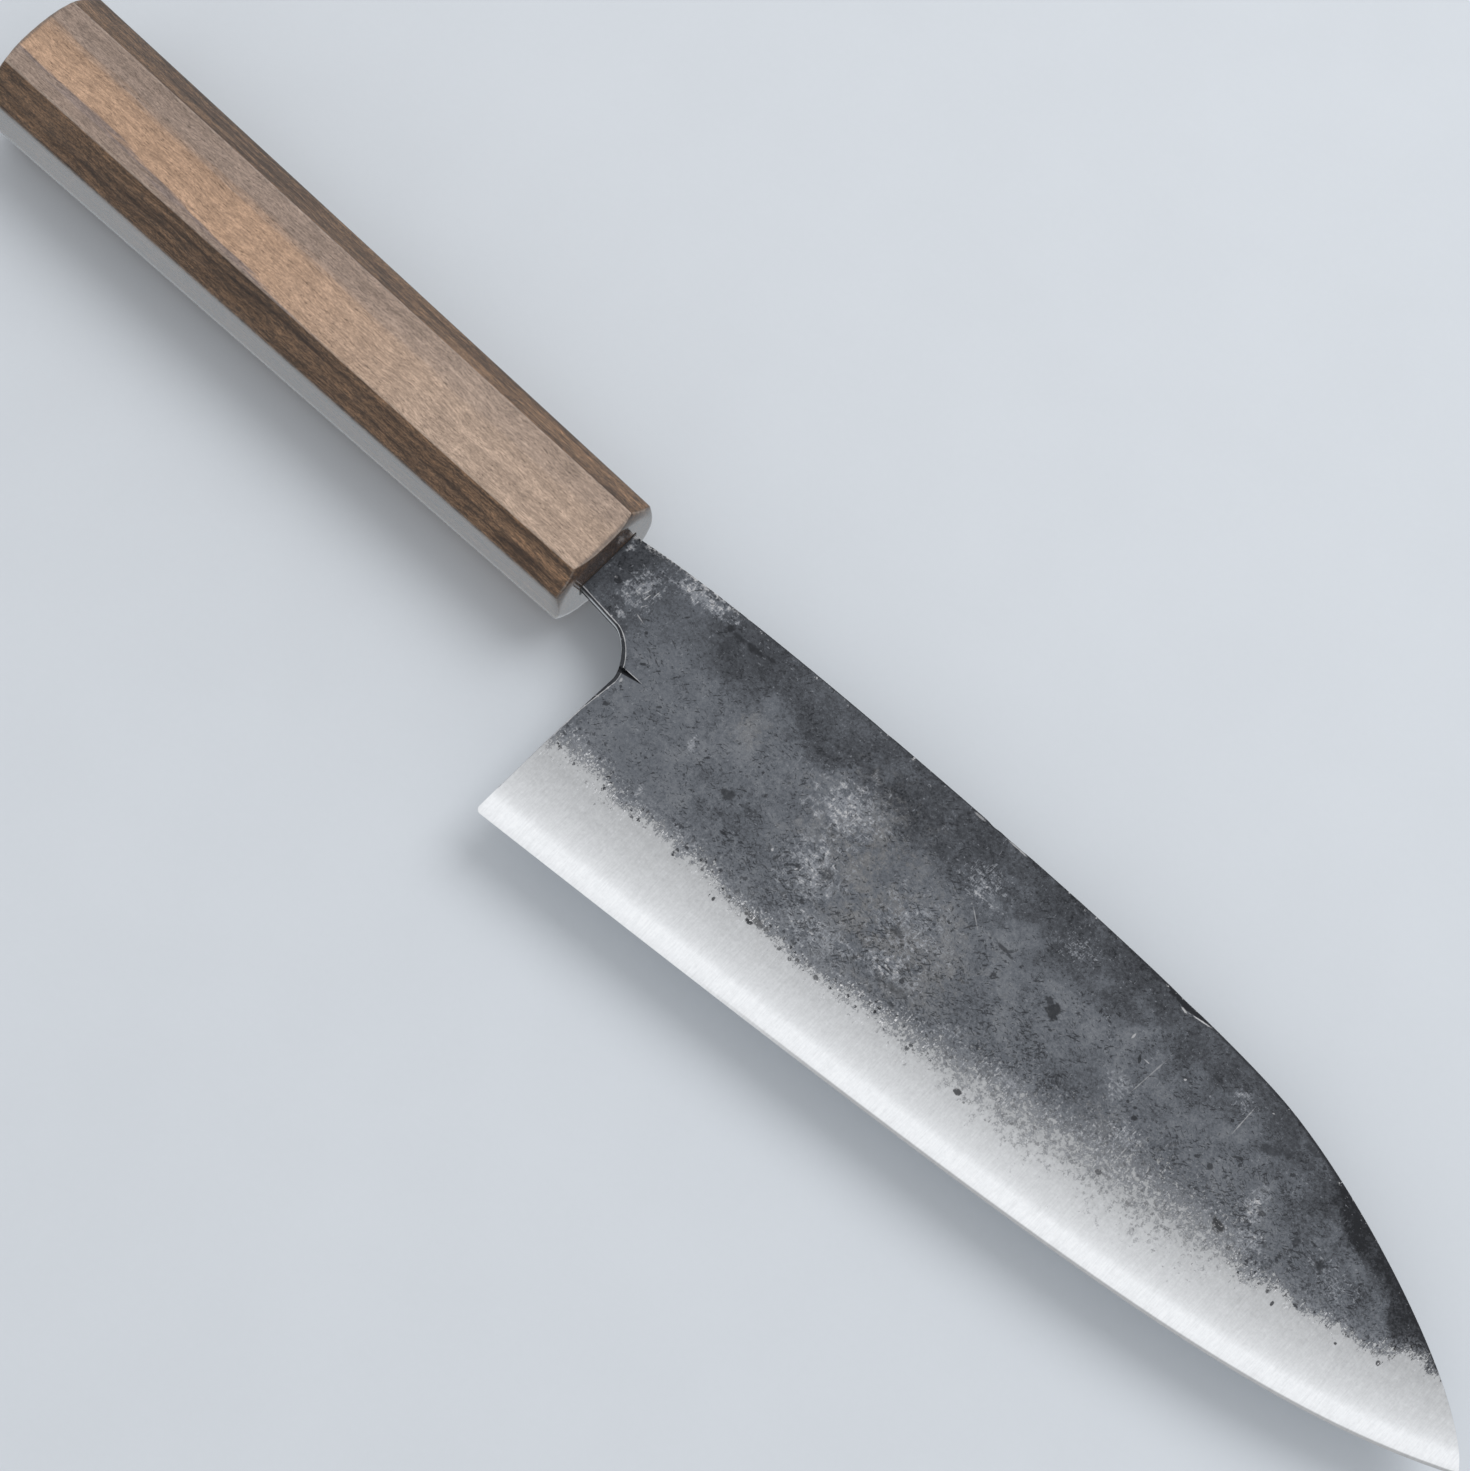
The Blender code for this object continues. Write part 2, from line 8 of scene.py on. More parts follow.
from __future__ import annotations
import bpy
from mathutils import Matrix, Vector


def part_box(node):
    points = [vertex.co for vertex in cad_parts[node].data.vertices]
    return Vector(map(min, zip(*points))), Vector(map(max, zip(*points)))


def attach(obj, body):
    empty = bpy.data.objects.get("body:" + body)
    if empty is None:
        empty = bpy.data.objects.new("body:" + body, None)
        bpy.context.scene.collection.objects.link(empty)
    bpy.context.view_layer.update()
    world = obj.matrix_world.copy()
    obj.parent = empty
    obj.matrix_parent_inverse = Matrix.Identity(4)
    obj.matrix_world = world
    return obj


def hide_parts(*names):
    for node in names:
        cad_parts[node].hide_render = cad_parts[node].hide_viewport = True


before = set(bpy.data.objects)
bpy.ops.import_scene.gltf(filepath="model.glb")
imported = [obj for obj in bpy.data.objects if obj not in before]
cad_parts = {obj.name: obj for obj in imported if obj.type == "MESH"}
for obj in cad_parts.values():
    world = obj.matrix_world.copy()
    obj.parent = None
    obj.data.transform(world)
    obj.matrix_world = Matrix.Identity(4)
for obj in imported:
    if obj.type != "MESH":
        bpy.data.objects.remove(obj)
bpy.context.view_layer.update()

import logging
import math
from dataclasses import dataclass, field
from enum import Enum
from functools import cached_property

import bpy
import numpy as np
from mathutils import Euler, Vector, noise

LOG = logging.getLogger("santoku")
MM = 0.001
SAME_PLACE = 5  # decimals of a millimetre to which points count as one
SAME_HEIGHT = 1e-5  # millimetres under which a solid has no thickness
NEARLY_ZERO = 1e-9
CURVE_STEPS = 400
SHARP_METAL, SHARP_WOOD = 35, 30  # degrees from which an edge is shaded sharp
THROUGH = 1000.0  # reach of a mark along z, in millimetres, so that it covers the whole thickness

Point = tuple[float, float]
Colour = tuple[float, float, float]
Triple = tuple[float, float, float]
Row = tuple[float, ...]
Column = list[Row]
Names = tuple[str, ...]
Socket = bpy.types.NodeSocket


class Side(Enum):
    """The two faces of the blade, with the direction of each along z."""

    RIGHT = 1
    LEFT = -1


class SocketKind(Enum):
    """What passes through a socket of a node group."""

    VALUE = "NodeSocketFloat"
    VECTOR = "NodeSocketVector"


class Measure(Enum):
    """What the meshes know at every point, in millimetres. The finishes read it by these names."""

    ABOVE_EDGE = "above_edge"
    FROM_RIM = "from_rim"
    PAST_ARRIS = "past_arris"
    NICK = "nick"
    ABOVE_LINE = "above_line"
    FADE = "fade"
    NOSE = "nose"


def mix(start: float, end: float, share: float) -> float:
    """The value a share of the way from start to end."""
    return start + (end - start) * share


def smooth_step(value: np.ndarray | float, low: float, high: float) -> np.ndarray | float:
    """0 below low, 1 above high, and an eased change between them."""
    share = np.clip((value - low) / (high - low), 0.0, 1.0)
    return share * share * (3 - 2 * share)


def follow(table: tuple[Point, ...], place: float) -> float:
    """What a table of (place, value) pairs gives at a place, with straight lines between them."""
    places, values = zip(*table)
    return float(np.interp(place, places, values))


def cubic_curve(corners: list[Point], steps: int) -> np.ndarray:
    """Points of a smooth curve that leaves the first of four corners for the second and ends at the fourth.

    Args:
        corners: the four steering points.
        steps: number of stretches along the curve.

    Returns:
        An array of steps + 1 rows of x and y.
    """
    ahead = np.linspace(0.0, 1.0, steps + 1)[:, None]
    back = 1 - ahead
    weights = (back**3, 3 * back**2 * ahead, 3 * back * ahead**2, ahead**3)
    return sum(weight * np.array(corner) for weight, corner in zip(weights, corners))


def swept_curve(start: Point, leave: Point, end: Point, arrive: Point) -> np.ndarray:
    """Points of a curve from start to end, held to a slope at each end for a share of its run.

    Args:
        start: first point.
        leave: slope at the start and the share of the run that keeps to it.
        end: last point.
        arrive: slope at the end and the share of the run that keeps to it.

    Returns:
        An array of rows of x and y.
    """
    run = end[0] - start[0]
    first = (start[0] + run * leave[1], start[1] + run * leave[1] * leave[0])
    second = (end[0] - run * arrive[1], end[1] - run * arrive[1] * arrive[0])
    return cubic_curve([start, first, second, end], CURVE_STEPS)


# ---------------------------------------------------------------------------------------------------
# Meshes


class Sheet:
    """A flat sheet of joined cells, which becomes a solid between two surfaces."""

    def __init__(self) -> None:
        """Begins with no points and no cells."""
        self.points: Column = []
        self.cells: list[list[int]] = []
        self.known: dict[Point, int] = {}

    def point(self, place: Row) -> int:
        """The number of the point at a place, shared by all cells that meet there.

        Args:
            place: x, y and what else a column knows of the point.

        Returns:
            Its number, a new one if the place is new.
        """
        key = (round(place[0], SAME_PLACE), round(place[1], SAME_PLACE))
        if key not in self.known:
            self.known[key] = len(self.points)
            self.points.append(place)
        return self.known[key]

    def add_columns(self, columns: list[Column]) -> None:
        """Joins neighbouring columns of points with cells. Points that fall together close a cell's corner.

        Args:
            columns: columns of points, all of one length, in the order of x.
        """
        numbered = [[self.point(place) for place in column] for column in columns]
        for column, following in zip(numbered, numbered[1:]):
            for low in range(len(column) - 1):
                around = (column[low], following[low], following[low + 1], column[low + 1])
                cell = list(dict.fromkeys(around))
                if len(cell) > 2:
                    self.cells.append(cell)

    def border(self) -> list[tuple[int, int]]:
        """The directed sides of cells that no other cell shares.

        Returns:
            Pairs of point numbers, in order.
        """
        sides: set[tuple[int, int]] = set()
        for cell in self.cells:
            sides.update(zip(cell, cell[1:] + cell[:1]))
        return sorted(side for side in sides if (side[1], side[0]) not in sides)


@dataclass
class MeshPlan:
    """Points, faces and named measures of a mesh that is being made, in millimetres."""

    points: list[Triple] = field(default_factory=list)
    faces: list[list[int]] = field(default_factory=list)
    measures: dict[str, list[float]] = field(default_factory=dict)

    def add_ring(self, ring: list[Triple]) -> list[int]:
        """Adds a ring of points.

        Args:
            ring: the points.

        Returns:
            Their numbers.
        """
        first = len(self.points)
        self.points.extend(ring)
        return list(range(first, len(self.points)))

    def skin(self, rings: list[list[int]]) -> None:
        """Joins each ring to the next with four-sided faces.

        Args:
            rings: rings of point numbers, all of one length.
        """
        for ring, following in zip(rings, rings[1:]):
            for corner in range(len(ring)):
                ahead = (corner + 1) % len(ring)
                self.faces.append([ring[corner], ring[ahead], following[ahead], following[corner]])

    def build(self, name: str, origin: Vector, sharp_degrees: float) -> bpy.types.Object:
        """Makes the object, shaded smooth except where faces meet at more than an angle.

        Args:
            name: the piece's name.
            origin: where the mouth point lies in the frame, in metres.
            sharp_degrees: the angle from which an edge is shaded sharp.

        Returns:
            The new object, linked into the scene.
        """
        mesh = bpy.data.meshes.new(name)
        mesh.from_pydata([tuple(value * MM for value in point) for point in self.points], [], self.faces)
        mesh.validate()
        for measure, values in self.measures.items():
            layer = mesh.attributes.new(measure, "FLOAT", "POINT")
            layer.data.foreach_set("value", values)
        mesh.shade_smooth()
        mesh.set_sharp_from_angle(angle=math.radians(sharp_degrees))
        piece = bpy.data.objects.new(name, mesh)
        piece.location = origin
        bpy.context.scene.collection.objects.link(piece)
        return piece


# ---------------------------------------------------------------------------------------------------
# Shader nodes


class Wire:
    """What leaves a node. Arithmetic on wires adds Math nodes to their tree, and | takes the greater."""

    def __init__(self, wiring: Wiring, socket: Socket) -> None:
        """Keeps the socket that it leaves, and the wiring of its tree."""
        self.wiring = wiring
        self.socket = socket

    def __add__(self, other: Amount) -> Wire:
        """The sum of the two."""
        return self.wiring.math("ADD", self, other)

    def __sub__(self, other: Amount) -> Wire:
        """This less the other."""
        return self.wiring.math("SUBTRACT", self, other)

    def __rsub__(self, other: float) -> Wire:
        """A number less this."""
        return self.wiring.math("SUBTRACT", other, self)

    def __mul__(self, other: Amount) -> Wire:
        """The product of the two."""
        return self.wiring.math("MULTIPLY", self, other)

    def __truediv__(self, other: Amount) -> Wire:
        """This divided by the other."""
        return self.wiring.math("DIVIDE", self, other)

    def __or__(self, other: Wire) -> Wire:
        """The greater of the two, which joins masks."""
        return self.wiring.math("MAXIMUM", self, other)

    def __abs__(self) -> Wire:
        """Its size, whatever its sign."""
        return self.wiring.math("ABSOLUTE", self)

    def swing(self, amount: Amount) -> Wire:
        """What a noise, which lies round 0.5, adds to a level that it raises and lowers by an amount."""
        return (self - 0.5) * amount

    def ramp(self, low: Amount, high: Amount, start: float = 0.0, end: float = 1.0) -> Wire:
        """Eases from start to end as this goes from low to high."""
        inputs = {"Value": self, "From Min": low, "From Max": high, "To Min": start, "To Max": end}
        return self.wiring.result("Result", "MapRange", inputs, interpolation_type="SMOOTHSTEP")


Amount = float | Wire
Tint = Colour | Wire
Inputs = dict[str | int, object]


class Wiring:
    """Adds and joins shader nodes in one node tree."""

    def __init__(self, tree: bpy.types.NodeTree) -> None:
        """Takes the tree that is to be wired."""
        self.tree = tree

    def fill(self, node: bpy.types.Node, inputs: Inputs) -> None:
        """Links wires and sockets into a node's inputs, or sets them to plain values.

        Args:
            node: the node.
            inputs: what goes into it, by the input's name or number.
        """
        for name, value in inputs.items():
            target = node.inputs[name]
            source = value.socket if isinstance(value, Wire) else value
            if isinstance(source, bpy.types.NodeSocket):
                self.tree.links.new(source, target)
            elif target.type == "RGBA":
                target.default_value = (*source, 1.0)
            else:
                target.default_value = source

    def node(self, kind: str, inputs: Inputs | None = None, **settings: object) -> bpy.types.Node:
        """Adds a node.

        Args:
            kind: the node's type, without its ShaderNode prefix.
            inputs: what goes into it, by the input's name or number.
            settings: the node's own properties, set before its inputs.

        Returns:
            The new node.
        """
        made = self.tree.nodes.new("ShaderNode" + kind)
        for name, value in settings.items():
            setattr(made, name, value)
        self.fill(made, inputs or {})
        return made

    def wires(self, node: bpy.types.Node) -> dict[str, Wire]:
        """The wires that leave a node, by name."""
        return {output.name: Wire(self, output) for output in node.outputs}

    def result(self, output: str | int, kind: str, inputs: Inputs, **settings: object) -> Wire:
        """Adds a node and returns one of its outputs, by name or number."""
        return Wire(self, self.node(kind, inputs, **settings).outputs[output])

    def math(self, operation: str, *operands: Amount) -> Wire:
        """The result of a Math node."""
        return self.result(0, "Math", dict(enumerate(operands)), operation=operation)

    def vector(self, operation: str, *operands: Triple | Wire) -> Wire:
        """The vector result of a Vector Math node."""
        return self.result(0, "VectorMath", dict(enumerate(operands)), operation=operation)

    def shade(self, colour: Tint, factor: Wire) -> Wire:
        """A colour made lighter or darker by a factor, or a vector made longer or shorter."""
        return self.result(0, "VectorMath", {0: colour, "Scale": factor}, operation="SCALE")

    def turn(self, position: Wire, angle: Amount) -> Wire:
        """A place turned about z."""
        return self.result(0, "VectorRotate", {"Vector": position, "Angle": angle}, rotation_type="Z_AXIS")

    def blend(self, factor: Wire, first: Tint, second: Tint) -> Wire:
        """Goes from the first colour to the second as the factor goes from 0 to 1."""
        return self.result(2, "Mix", {0: factor, 6: first, 7: second}, data_type="RGBA")

    def colours(self, value: Wire, stops: list[tuple[float, Colour]]) -> Wire:
        """A colour that follows a value, with straight lines between stops.

        Args:
            value: what the colour follows.
            stops: values between 0 and 1 in rising order, with their colours.

        Returns:
            The colour.
        """
        made = self.node("ValToRGB", {"Fac": value})
        elements = made.color_ramp.elements
        while len(elements) < len(stops):
            elements.new(0.5)
        for element, (place, _) in zip(elements, stops):
            element.position = place
        for element, (_, colour) in zip(elements, stops):
            element.color = (*colour, 1.0)
        return Wire(self, made.outputs["Color"])

    def noise(self, position: Wire, scale: Amount, detail: float, rough: float) -> Wire:
        """A noise between 0 and 1 with features about 1 / scale across."""
        inputs = {"Vector": position, "Scale": scale, "Detail": detail, "Roughness": rough}
        return self.result(0, "TexNoise", inputs)

    def measure(self, measure: Measure) -> Wire:
        """A measure that the meshes carry."""
        return Wire(self, self.node("Attribute", attribute_name=measure.value).outputs["Fac"])

    def place(self) -> Wire:
        """Where a point of the piece lies, in millimetres from the mouth point."""
        metres = self.wires(self.node("TexCoord"))["Object"]
        return self.vector("MULTIPLY", metres, (1 / MM, 1 / MM, 1 / MM))

    def parts(self, position: Wire) -> list[Wire]:
        """The x, y and z of a place."""
        return list(self.wires(self.node("SeparateXYZ", {0: position})).values())

    def use(self, group: bpy.types.NodeTree, inputs: Inputs) -> dict[str, Wire]:
        """Places a node group with its own values, and returns what leaves it."""
        return self.wires(self.node("Group", inputs, node_tree=group))

    def bump(self, height: Wire, depth: float, under: Wire | None = None) -> Wire:
        """A normal bent by a relief.

        Args:
            height: the relief, between 0 and 1.
            depth: the millimetres that it stands for.
            under: the normal that it bends, if another relief lies under it.

        Returns:
            The normal.
        """
        inputs: Inputs = {"Height": height, "Distance": depth * MM, "Strength": 1.0}
        if under is not None:
            inputs["Normal"] = under
        return self.result("Normal", "Bump", inputs)


@dataclass(frozen=True)
class Group:
    """A shader node group that is being made: its wiring, what it is given and where its results go."""

    wiring: Wiring
    given: dict[str, Wire]
    end: bpy.types.Node

    @classmethod
    def start(cls, name: str, vectors: Names, values: Names, results: Names) -> Group:
        """Begins a group.

        Args:
            name: the group's name.
            vectors: names of the inputs that take places or sizes.
            values: names of the inputs that take single values.
            results: names of the outputs, all single values.

        Returns:
            The group, with its sockets made.
        """
        tree = bpy.data.node_groups.new(name, "ShaderNodeTree")
        sockets = [(label, "INPUT", SocketKind.VECTOR) for label in vectors]
        sockets += [(label, "INPUT", SocketKind.VALUE) for label in values]
        sockets += [(label, "OUTPUT", SocketKind.VALUE) for label in results]
        for label, way, kind in sockets:
            tree.interface.new_socket(label, in_out=way, socket_type=kind.value)
        wiring = Wiring(tree)
        given = wiring.wires(tree.nodes.new("NodeGroupInput"))
        return cls(wiring, given, tree.nodes.new("NodeGroupOutput"))

    def finish(self, **results: Wire) -> bpy.types.NodeTree:
        """Joins the results to the outputs of their names, and returns the group."""
        self.wiring.fill(self.end, results)
        return self.wiring.tree


GROUND_BAND_HEIGHT = 16.0  # millimetres above the edge that the tones below cover
# Painted reflection: the ground band's brightness by its share of the band's height, brightest just above
# the edge
GROUND_REFLECTION_TONES = (
    (0.0, 0.88), (0.09, 0.965), (0.185, 0.955), (0.22, 0.885), (0.255, 0.81), (0.31, 0.75), (0.375, 0.695),
    (0.44, 0.67), (0.50, 0.625), (0.5625, 0.59), (0.625, 0.575), (0.75, 0.505), (1.0, 0.51),
)


class Effects:
    """The surface effects that the finishes share, each a shader node group built once."""

    @cached_property
    def streaks(self) -> bpy.types.NodeTree:
        """Fine lines: grinding scratches on steel, pores and fibres in wood.

        Returns:
            The node group.
        """
        group = Group.start("streaks", ("Position", "Stretch"), ("Sway",), ("Value",))
        w, given = group.wiring, group.given
        slow = w.result(1, "TexNoise", {"Vector": given["Position"], "Scale": 0.11, "Detail": 1.0})
        sway = w.shade(w.vector("SUBTRACT", slow, (0.5, 0.5, 0.5)), given["Sway"])
        moved = w.vector("ADD", given["Position"], sway)
        return group.finish(Value=w.noise(w.vector("MULTIPLY", moved, given["Stretch"]), 1.0, 4.0, 0.62))

    @cached_property
    def mottling(self) -> bpy.types.NodeTree:
        """Patches within patches, as on wax, resin and floor. Tone is about 0.5 on average.

        Returns:
            The node group.
        """
        group = Group.start("mottling", ("Position",), ("Broad", "Fine"), ("Tone", "Relief"))
        w, given = group.wiring, group.given
        broad = w.noise(given["Position"], given["Broad"], 3.0, 0.55)
        middle = w.noise(given["Position"], given["Broad"] * 4.0, 5.0, 0.65)
        fine = w.noise(given["Position"], given["Fine"], 4.0, 0.65)
        tone = broad * 0.35 + middle * 0.40 + fine * 0.25
        return group.finish(Tone=tone, Relief=middle * 0.6 + fine * 0.4)

    @cached_property
    def flecks(self) -> bpy.types.NodeTree:
        """Scattered small ragged spots, in a share of the cells of a grid without order.

        Returns:
            The node group.
        """
        group = Group.start("flecks", ("Position",), ("Scale", "Share", "Size", "Ragged"), ("Mask",))
        w, given = group.wiring, group.given
        inputs = {"Vector": given["Position"], "Scale": given["Scale"], "Randomness": 1.0}
        cells = w.wires(w.node("TexVoronoi", inputs))
        chance, spread, _ = w.wires(w.node("SeparateColor", {0: cells["Color"]})).values()
        ragged = w.noise(given["Position"], given["Scale"] * 3.0, 2.0, 0.6).swing(given["Ragged"])
        size = given["Size"] * (spread * 0.8 + 0.35)
        inside = (cells["Distance"] + ragged).ramp(size, size * 0.6)
        return group.finish(Mask=inside * w.math("LESS_THAN", chance, given["Share"]))

    @cached_property
    def placed_mark(self) -> bpy.types.NodeTree:
        """One mark at a given place: an oval that is turned, torn and softened.

        Returns:
            The node group.
        """
        places, values = ("Position", "Centre", "Reach"), ("Turn", "Tear", "Soft")
        group = Group.start("placed_mark", places, values, ("Mask",))
        w, given = group.wiring, group.given
        away = w.turn(w.vector("SUBTRACT", given["Position"], given["Centre"]), given["Turn"])
        sized = w.vector("DIVIDE", away, given["Reach"])
        length = w.result("Value", "VectorMath", {0: sized}, operation="LENGTH")
        return group.finish(Mask=(length + given["Tear"]).ramp(1.0, 1.0 - given["Soft"]))

    @cached_property
    def worn_edge(self) -> bpy.types.NodeTree:
        """Light patches within a reach of a rim: rubbed bare iron by the spine, and painted glints along
        the choil's easing and the handle's arrises.

        Returns:
            The node group.
        """
        group = Group.start("worn_edge", ("Position",), ("From Rim", "Reach", "Cover"), ("Mask",))
        w, given = group.wiring, group.given
        share = abs(given["From Rim"]) / given["Reach"]
        kept = given["Cover"] - share * 0.4 + w.noise(given["Position"], 0.8, 4.0, 0.7)
        return group.finish(Mask=kept.ramp(0.85, 1.10))

    @cached_property
    def ground_band(self) -> bpy.types.NodeTree:
        """The bright ground band: its tone by the height above the edge, a painted reflection of the convex
        bevel, crossed by fine grinding lines.

        Returns:
            The node group.
        """
        group = Group.start("ground_band", ("Position",), ("Above Edge",), ("Tone", "Relief"))
        w, given = group.wiring, group.given
        position, above = given["Position"], given["Above Edge"]
        greys = [(place, (tone, tone, tone)) for place, tone in GROUND_REFLECTION_TONES]
        base = w.colours(above / GROUND_BAND_HEIGHT, greys)
        ruled = {"Position": position, "Sway": 0.3}
        lines = w.use(self.streaks, {**ruled, "Stretch": (4.5, 0.35, 0.4)})["Value"]
        patches = w.use(self.streaks, {**ruled, "Stretch": (0.8, 0.22, 0.3)})["Value"]
        frost = w.noise(position, 1.9, 4.0, 0.70).swing(above.ramp(1.5, 12.0, 0.22, 0.55))
        tone = lines.swing(0.30) + 1.0 + patches.swing(0.12) + frost
        # Painted shade: a darker line along the very edge, from the middle of the blade to the tip
        edge_line_shade = above.ramp(0.60, 0.30) * w.parts(position)[0].ramp(45.0, 80.0)
        return group.finish(Tone=tone * (1.0 - edge_line_shade * 0.5) * base, Relief=lines)


@dataclass(frozen=True)
class Mark:
    """A mark on the forged face, in millimetres and degrees."""

    x: float
    y: float
    length: float
    width: float
    turn: float
    soft: float
    strength: float


def marks(*rows: tuple[float, ...]) -> tuple[Mark, ...]:
    """Marks from rows of x, y, half the length, half the width, turn, softness and strength."""
    return tuple(Mark(*row) for row in rows)


@dataclass(frozen=True)
class FaceMarks:
    """The marks that are listed for one forged face, by their kind."""

    dark: tuple[Mark, ...]
    light: tuple[Mark, ...]
    haze: tuple[Mark, ...]
    shade: tuple[Mark, ...]
    brown: tuple[Mark, ...]


def new_material(name: str) -> tuple[bpy.types.Material, Wiring, bpy.types.Node]:
    """An empty material with its wiring and its main shader.

    Args:
        name: the finish's name.

    Returns:
        The material, its wiring and its Principled BSDF.
    """
    material = bpy.data.materials.new(name)
    material.use_nodes = True
    return material, Wiring(material.node_tree), material.node_tree.nodes["Principled BSDF"]


@dataclass(frozen=True)
class GroundSteel:
    """The hard core where it is bare along the edge: satin ground steel."""

    name: str = "ground steel"
    level: float = 1.0  # share of the light round it that the metal gives back at tone 1
    tint: Colour = (0.990, 0.992, 1.0)
    roughness: float = 0.34
    unevenness: float = 0.06  # by which the grinding lines change the roughness either way

    def material(self, effects: Effects) -> bpy.types.Material:
        """Builds the finish.

        Args:
            effects: the shared node groups.

        Returns:
            The material.
        """
        material, w, shader = new_material(self.name)
        above = w.measure(Measure.ABOVE_EDGE)
        band = w.use(effects.ground_band, {"Position": w.place(), "Above Edge": above})
        rough, smooth = self.roughness + self.unevenness, self.roughness - self.unevenness
        inputs = {
            "Base Color": w.shade(self.tint, band["Tone"] * self.level),
            "Metallic": 1.0,
            "Roughness": band["Relief"].ramp(0.2, 0.8, rough, smooth),
            "Normal": w.bump(band["Relief"], 0.006),
        }
        w.fill(shader, inputs)
        return material


@dataclass(frozen=True)
class ForgedIron:
    """The outer layers: ground iron below, black forge scale above, with the marks of one face."""

    name: str
    shift: Triple  # where in the endless patterns this face lies
    marks: FaceMarks
    steel: GroundSteel = GroundSteel()
    deep: Colour = (0.014, 0.015, 0.018)
    dark: Colour = (0.066, 0.071, 0.081)
    middle: Colour = (0.122, 0.132, 0.150)
    pale: Colour = (0.176, 0.186, 0.203)
    dusty: Colour = (0.262, 0.275, 0.300)
    bare: Colour = (0.50, 0.50, 0.51)
    glint: Colour = (0.76, 0.76, 0.77)
    haze: Colour = (0.172, 0.168, 0.164)

    def material(self, effects: Effects) -> bpy.types.Material:
        """The finish, built step by step."""
        return ForgedFace(self, effects).build()


class ForgedFace:
    """One forged face while its finish is wired: what the steps read at every point, and the steps."""

    def __init__(self, finish: ForgedIron, effects: Effects) -> None:
        """Makes the material and the wires that several steps read.

        Args:
            finish: the face's colours and marks.
            effects: the shared node groups.
        """
        self.finish = finish
        self.effects = effects
        self.material, self.w, self.shader = new_material(finish.name)
        self.position = self.w.place()
        self.x, self.y, _ = self.w.parts(self.position)
        self.ground = self.w.vector("ADD", self.position, finish.shift)
        self.rim = self.w.measure(Measure.FROM_RIM)
        self.past_arris = self.w.measure(Measure.PAST_ARRIS)
        self.above_line = self.w.measure(Measure.ABOVE_LINE)
        self.fade = self.w.measure(Measure.FADE)
        self.slow = self.pattern((0.0, 0.0, 0.0), 0.045, 2.0, 0.5)
        self.patches = self.pattern((10.0, 0.0, 0.0), 0.20, 5.0, 0.60)
        self.chips = self.pattern((40.0, 0.0, 0.0), 0.50, 4.0, 0.66)
        self.crumbs = self.pattern((0.0, 70.0, 0.0), 0.95, 4.0, 0.72)
        self.grain = self.pattern((0.0, 0.0, 30.0), 2.4, 3.0, 0.80)
        self.dust = self.pattern((0.0, 0.0, 55.0), 1.5, 3.0, 0.78)
        self.tear = self.pattern((0.0, 20.0, 0.0), 0.8, 4.0, 0.62).swing(2.2)
        self.chipped = self.chips.ramp(0.560, 0.572)  # flakes that have sprung off
        self.pits = self.flecks(0.34, 0.16, 0.20, 0.6)
        self.grains = self.flecks(0.95, 0.20, 0.34, 0.8)
        self.upright = self.lines(self.ground, (4.2, 0.55, 0.3), 1.0)  # brushed lines across the blade
        self.hatch = self.upright | self.lines(self.ground, (0.6, 3.8, 0.3), 1.0)  # and along it
        # The nick's recess, which dark() paints deep black as its shade
        self.nick = self.w.measure(Measure.NICK).ramp(0.02, 0.15)
        self.nose = (self.w.measure(Measure.NOSE) + self.tear * 1.5).ramp(-0.5, 0.7)  # its darker scale
        self.torn = self.fade.ramp(2.2, 4.5)  # 0 where the scale's border is narrow, 1 where it is wide
        self.hazy = self.gather(finish.marks.haze)
        self.marked = self.gather(finish.marks.dark)

    def pattern(self, shift: Triple, scale: float, detail: float, rough: float) -> Wire:
        """A noise over the face, apart from the others by a shift."""
        return self.w.noise(self.w.vector("ADD", self.ground, shift), scale, detail, rough)

    def lines(self, position: Wire, stretch: Triple, sway: float) -> Wire:
        """Fine lines over the face."""
        inputs = {"Position": position, "Stretch": stretch, "Sway": sway}
        return self.w.use(self.effects.streaks, inputs)["Value"]

    def flecks(self, scale: float, share: float, size: float, ragged: float) -> Wire:
        """Scattered spots over the face."""
        inputs = {"Position": self.ground, "Scale": scale, "Share": share, "Size": size, "Ragged": ragged}
        return self.w.use(self.effects.flecks, inputs)["Mask"]

    def wear_and_glint(self, rim: Wire, reach: float, cover: Wire) -> Wire:
        """Light iron within a reach of a rim: rubbed bare at the spine, a painted glint along the choil."""
        inputs = {"Position": self.ground, "From Rim": rim, "Reach": reach, "Cover": cover}
        return self.w.use(self.effects.worn_edge, inputs)["Mask"]

    def gather(self, placed: tuple[Mark, ...]) -> Wire:
        """The strongest of several marks at each point.

        Args:
            placed: the marks.

        Returns:
            A mask between 0 and 1.
        """
        found = self.tear * 0.0
        for mark in placed:
            inputs = {
                "Position": self.position,
                "Centre": (mark.x, mark.y, 0.0),
                "Reach": (mark.length, mark.width, THROUGH),
                "Turn": math.radians(-mark.turn),
                "Tear": self.tear,
                "Soft": mark.soft,
            }
            found = found | self.w.use(self.effects.placed_mark, inputs)["Mask"] * mark.strength
        return found

    def strokes(self, angle: float, stretch: Triple, low: float, high: float) -> Wire:
        """Short thin strokes at an angle to the blade.

        Args:
            angle: how far they are turned, in degrees.
            stretch: how close they lie along x, y and z.
            low: level of the noise below which a stroke is full.
            high: level of the noise above which there is none.

        Returns:
            A mask between 0 and 1.
        """
        turned = self.w.turn(self.ground, math.radians(angle))
        return (self.lines(turned, stretch, 6.0) - self.more).ramp(high, low)

    @cached_property
    def more(self) -> Wire:
        """By how much the strokes grow: in clusters, and where the face is busy."""
        cluster = self.pattern((0.0, 0.0, 90.0), 0.30, 3.0, 0.6)
        return self.busy * 0.042 + cluster.ramp(0.38, 0.60, -0.025, 0.035)

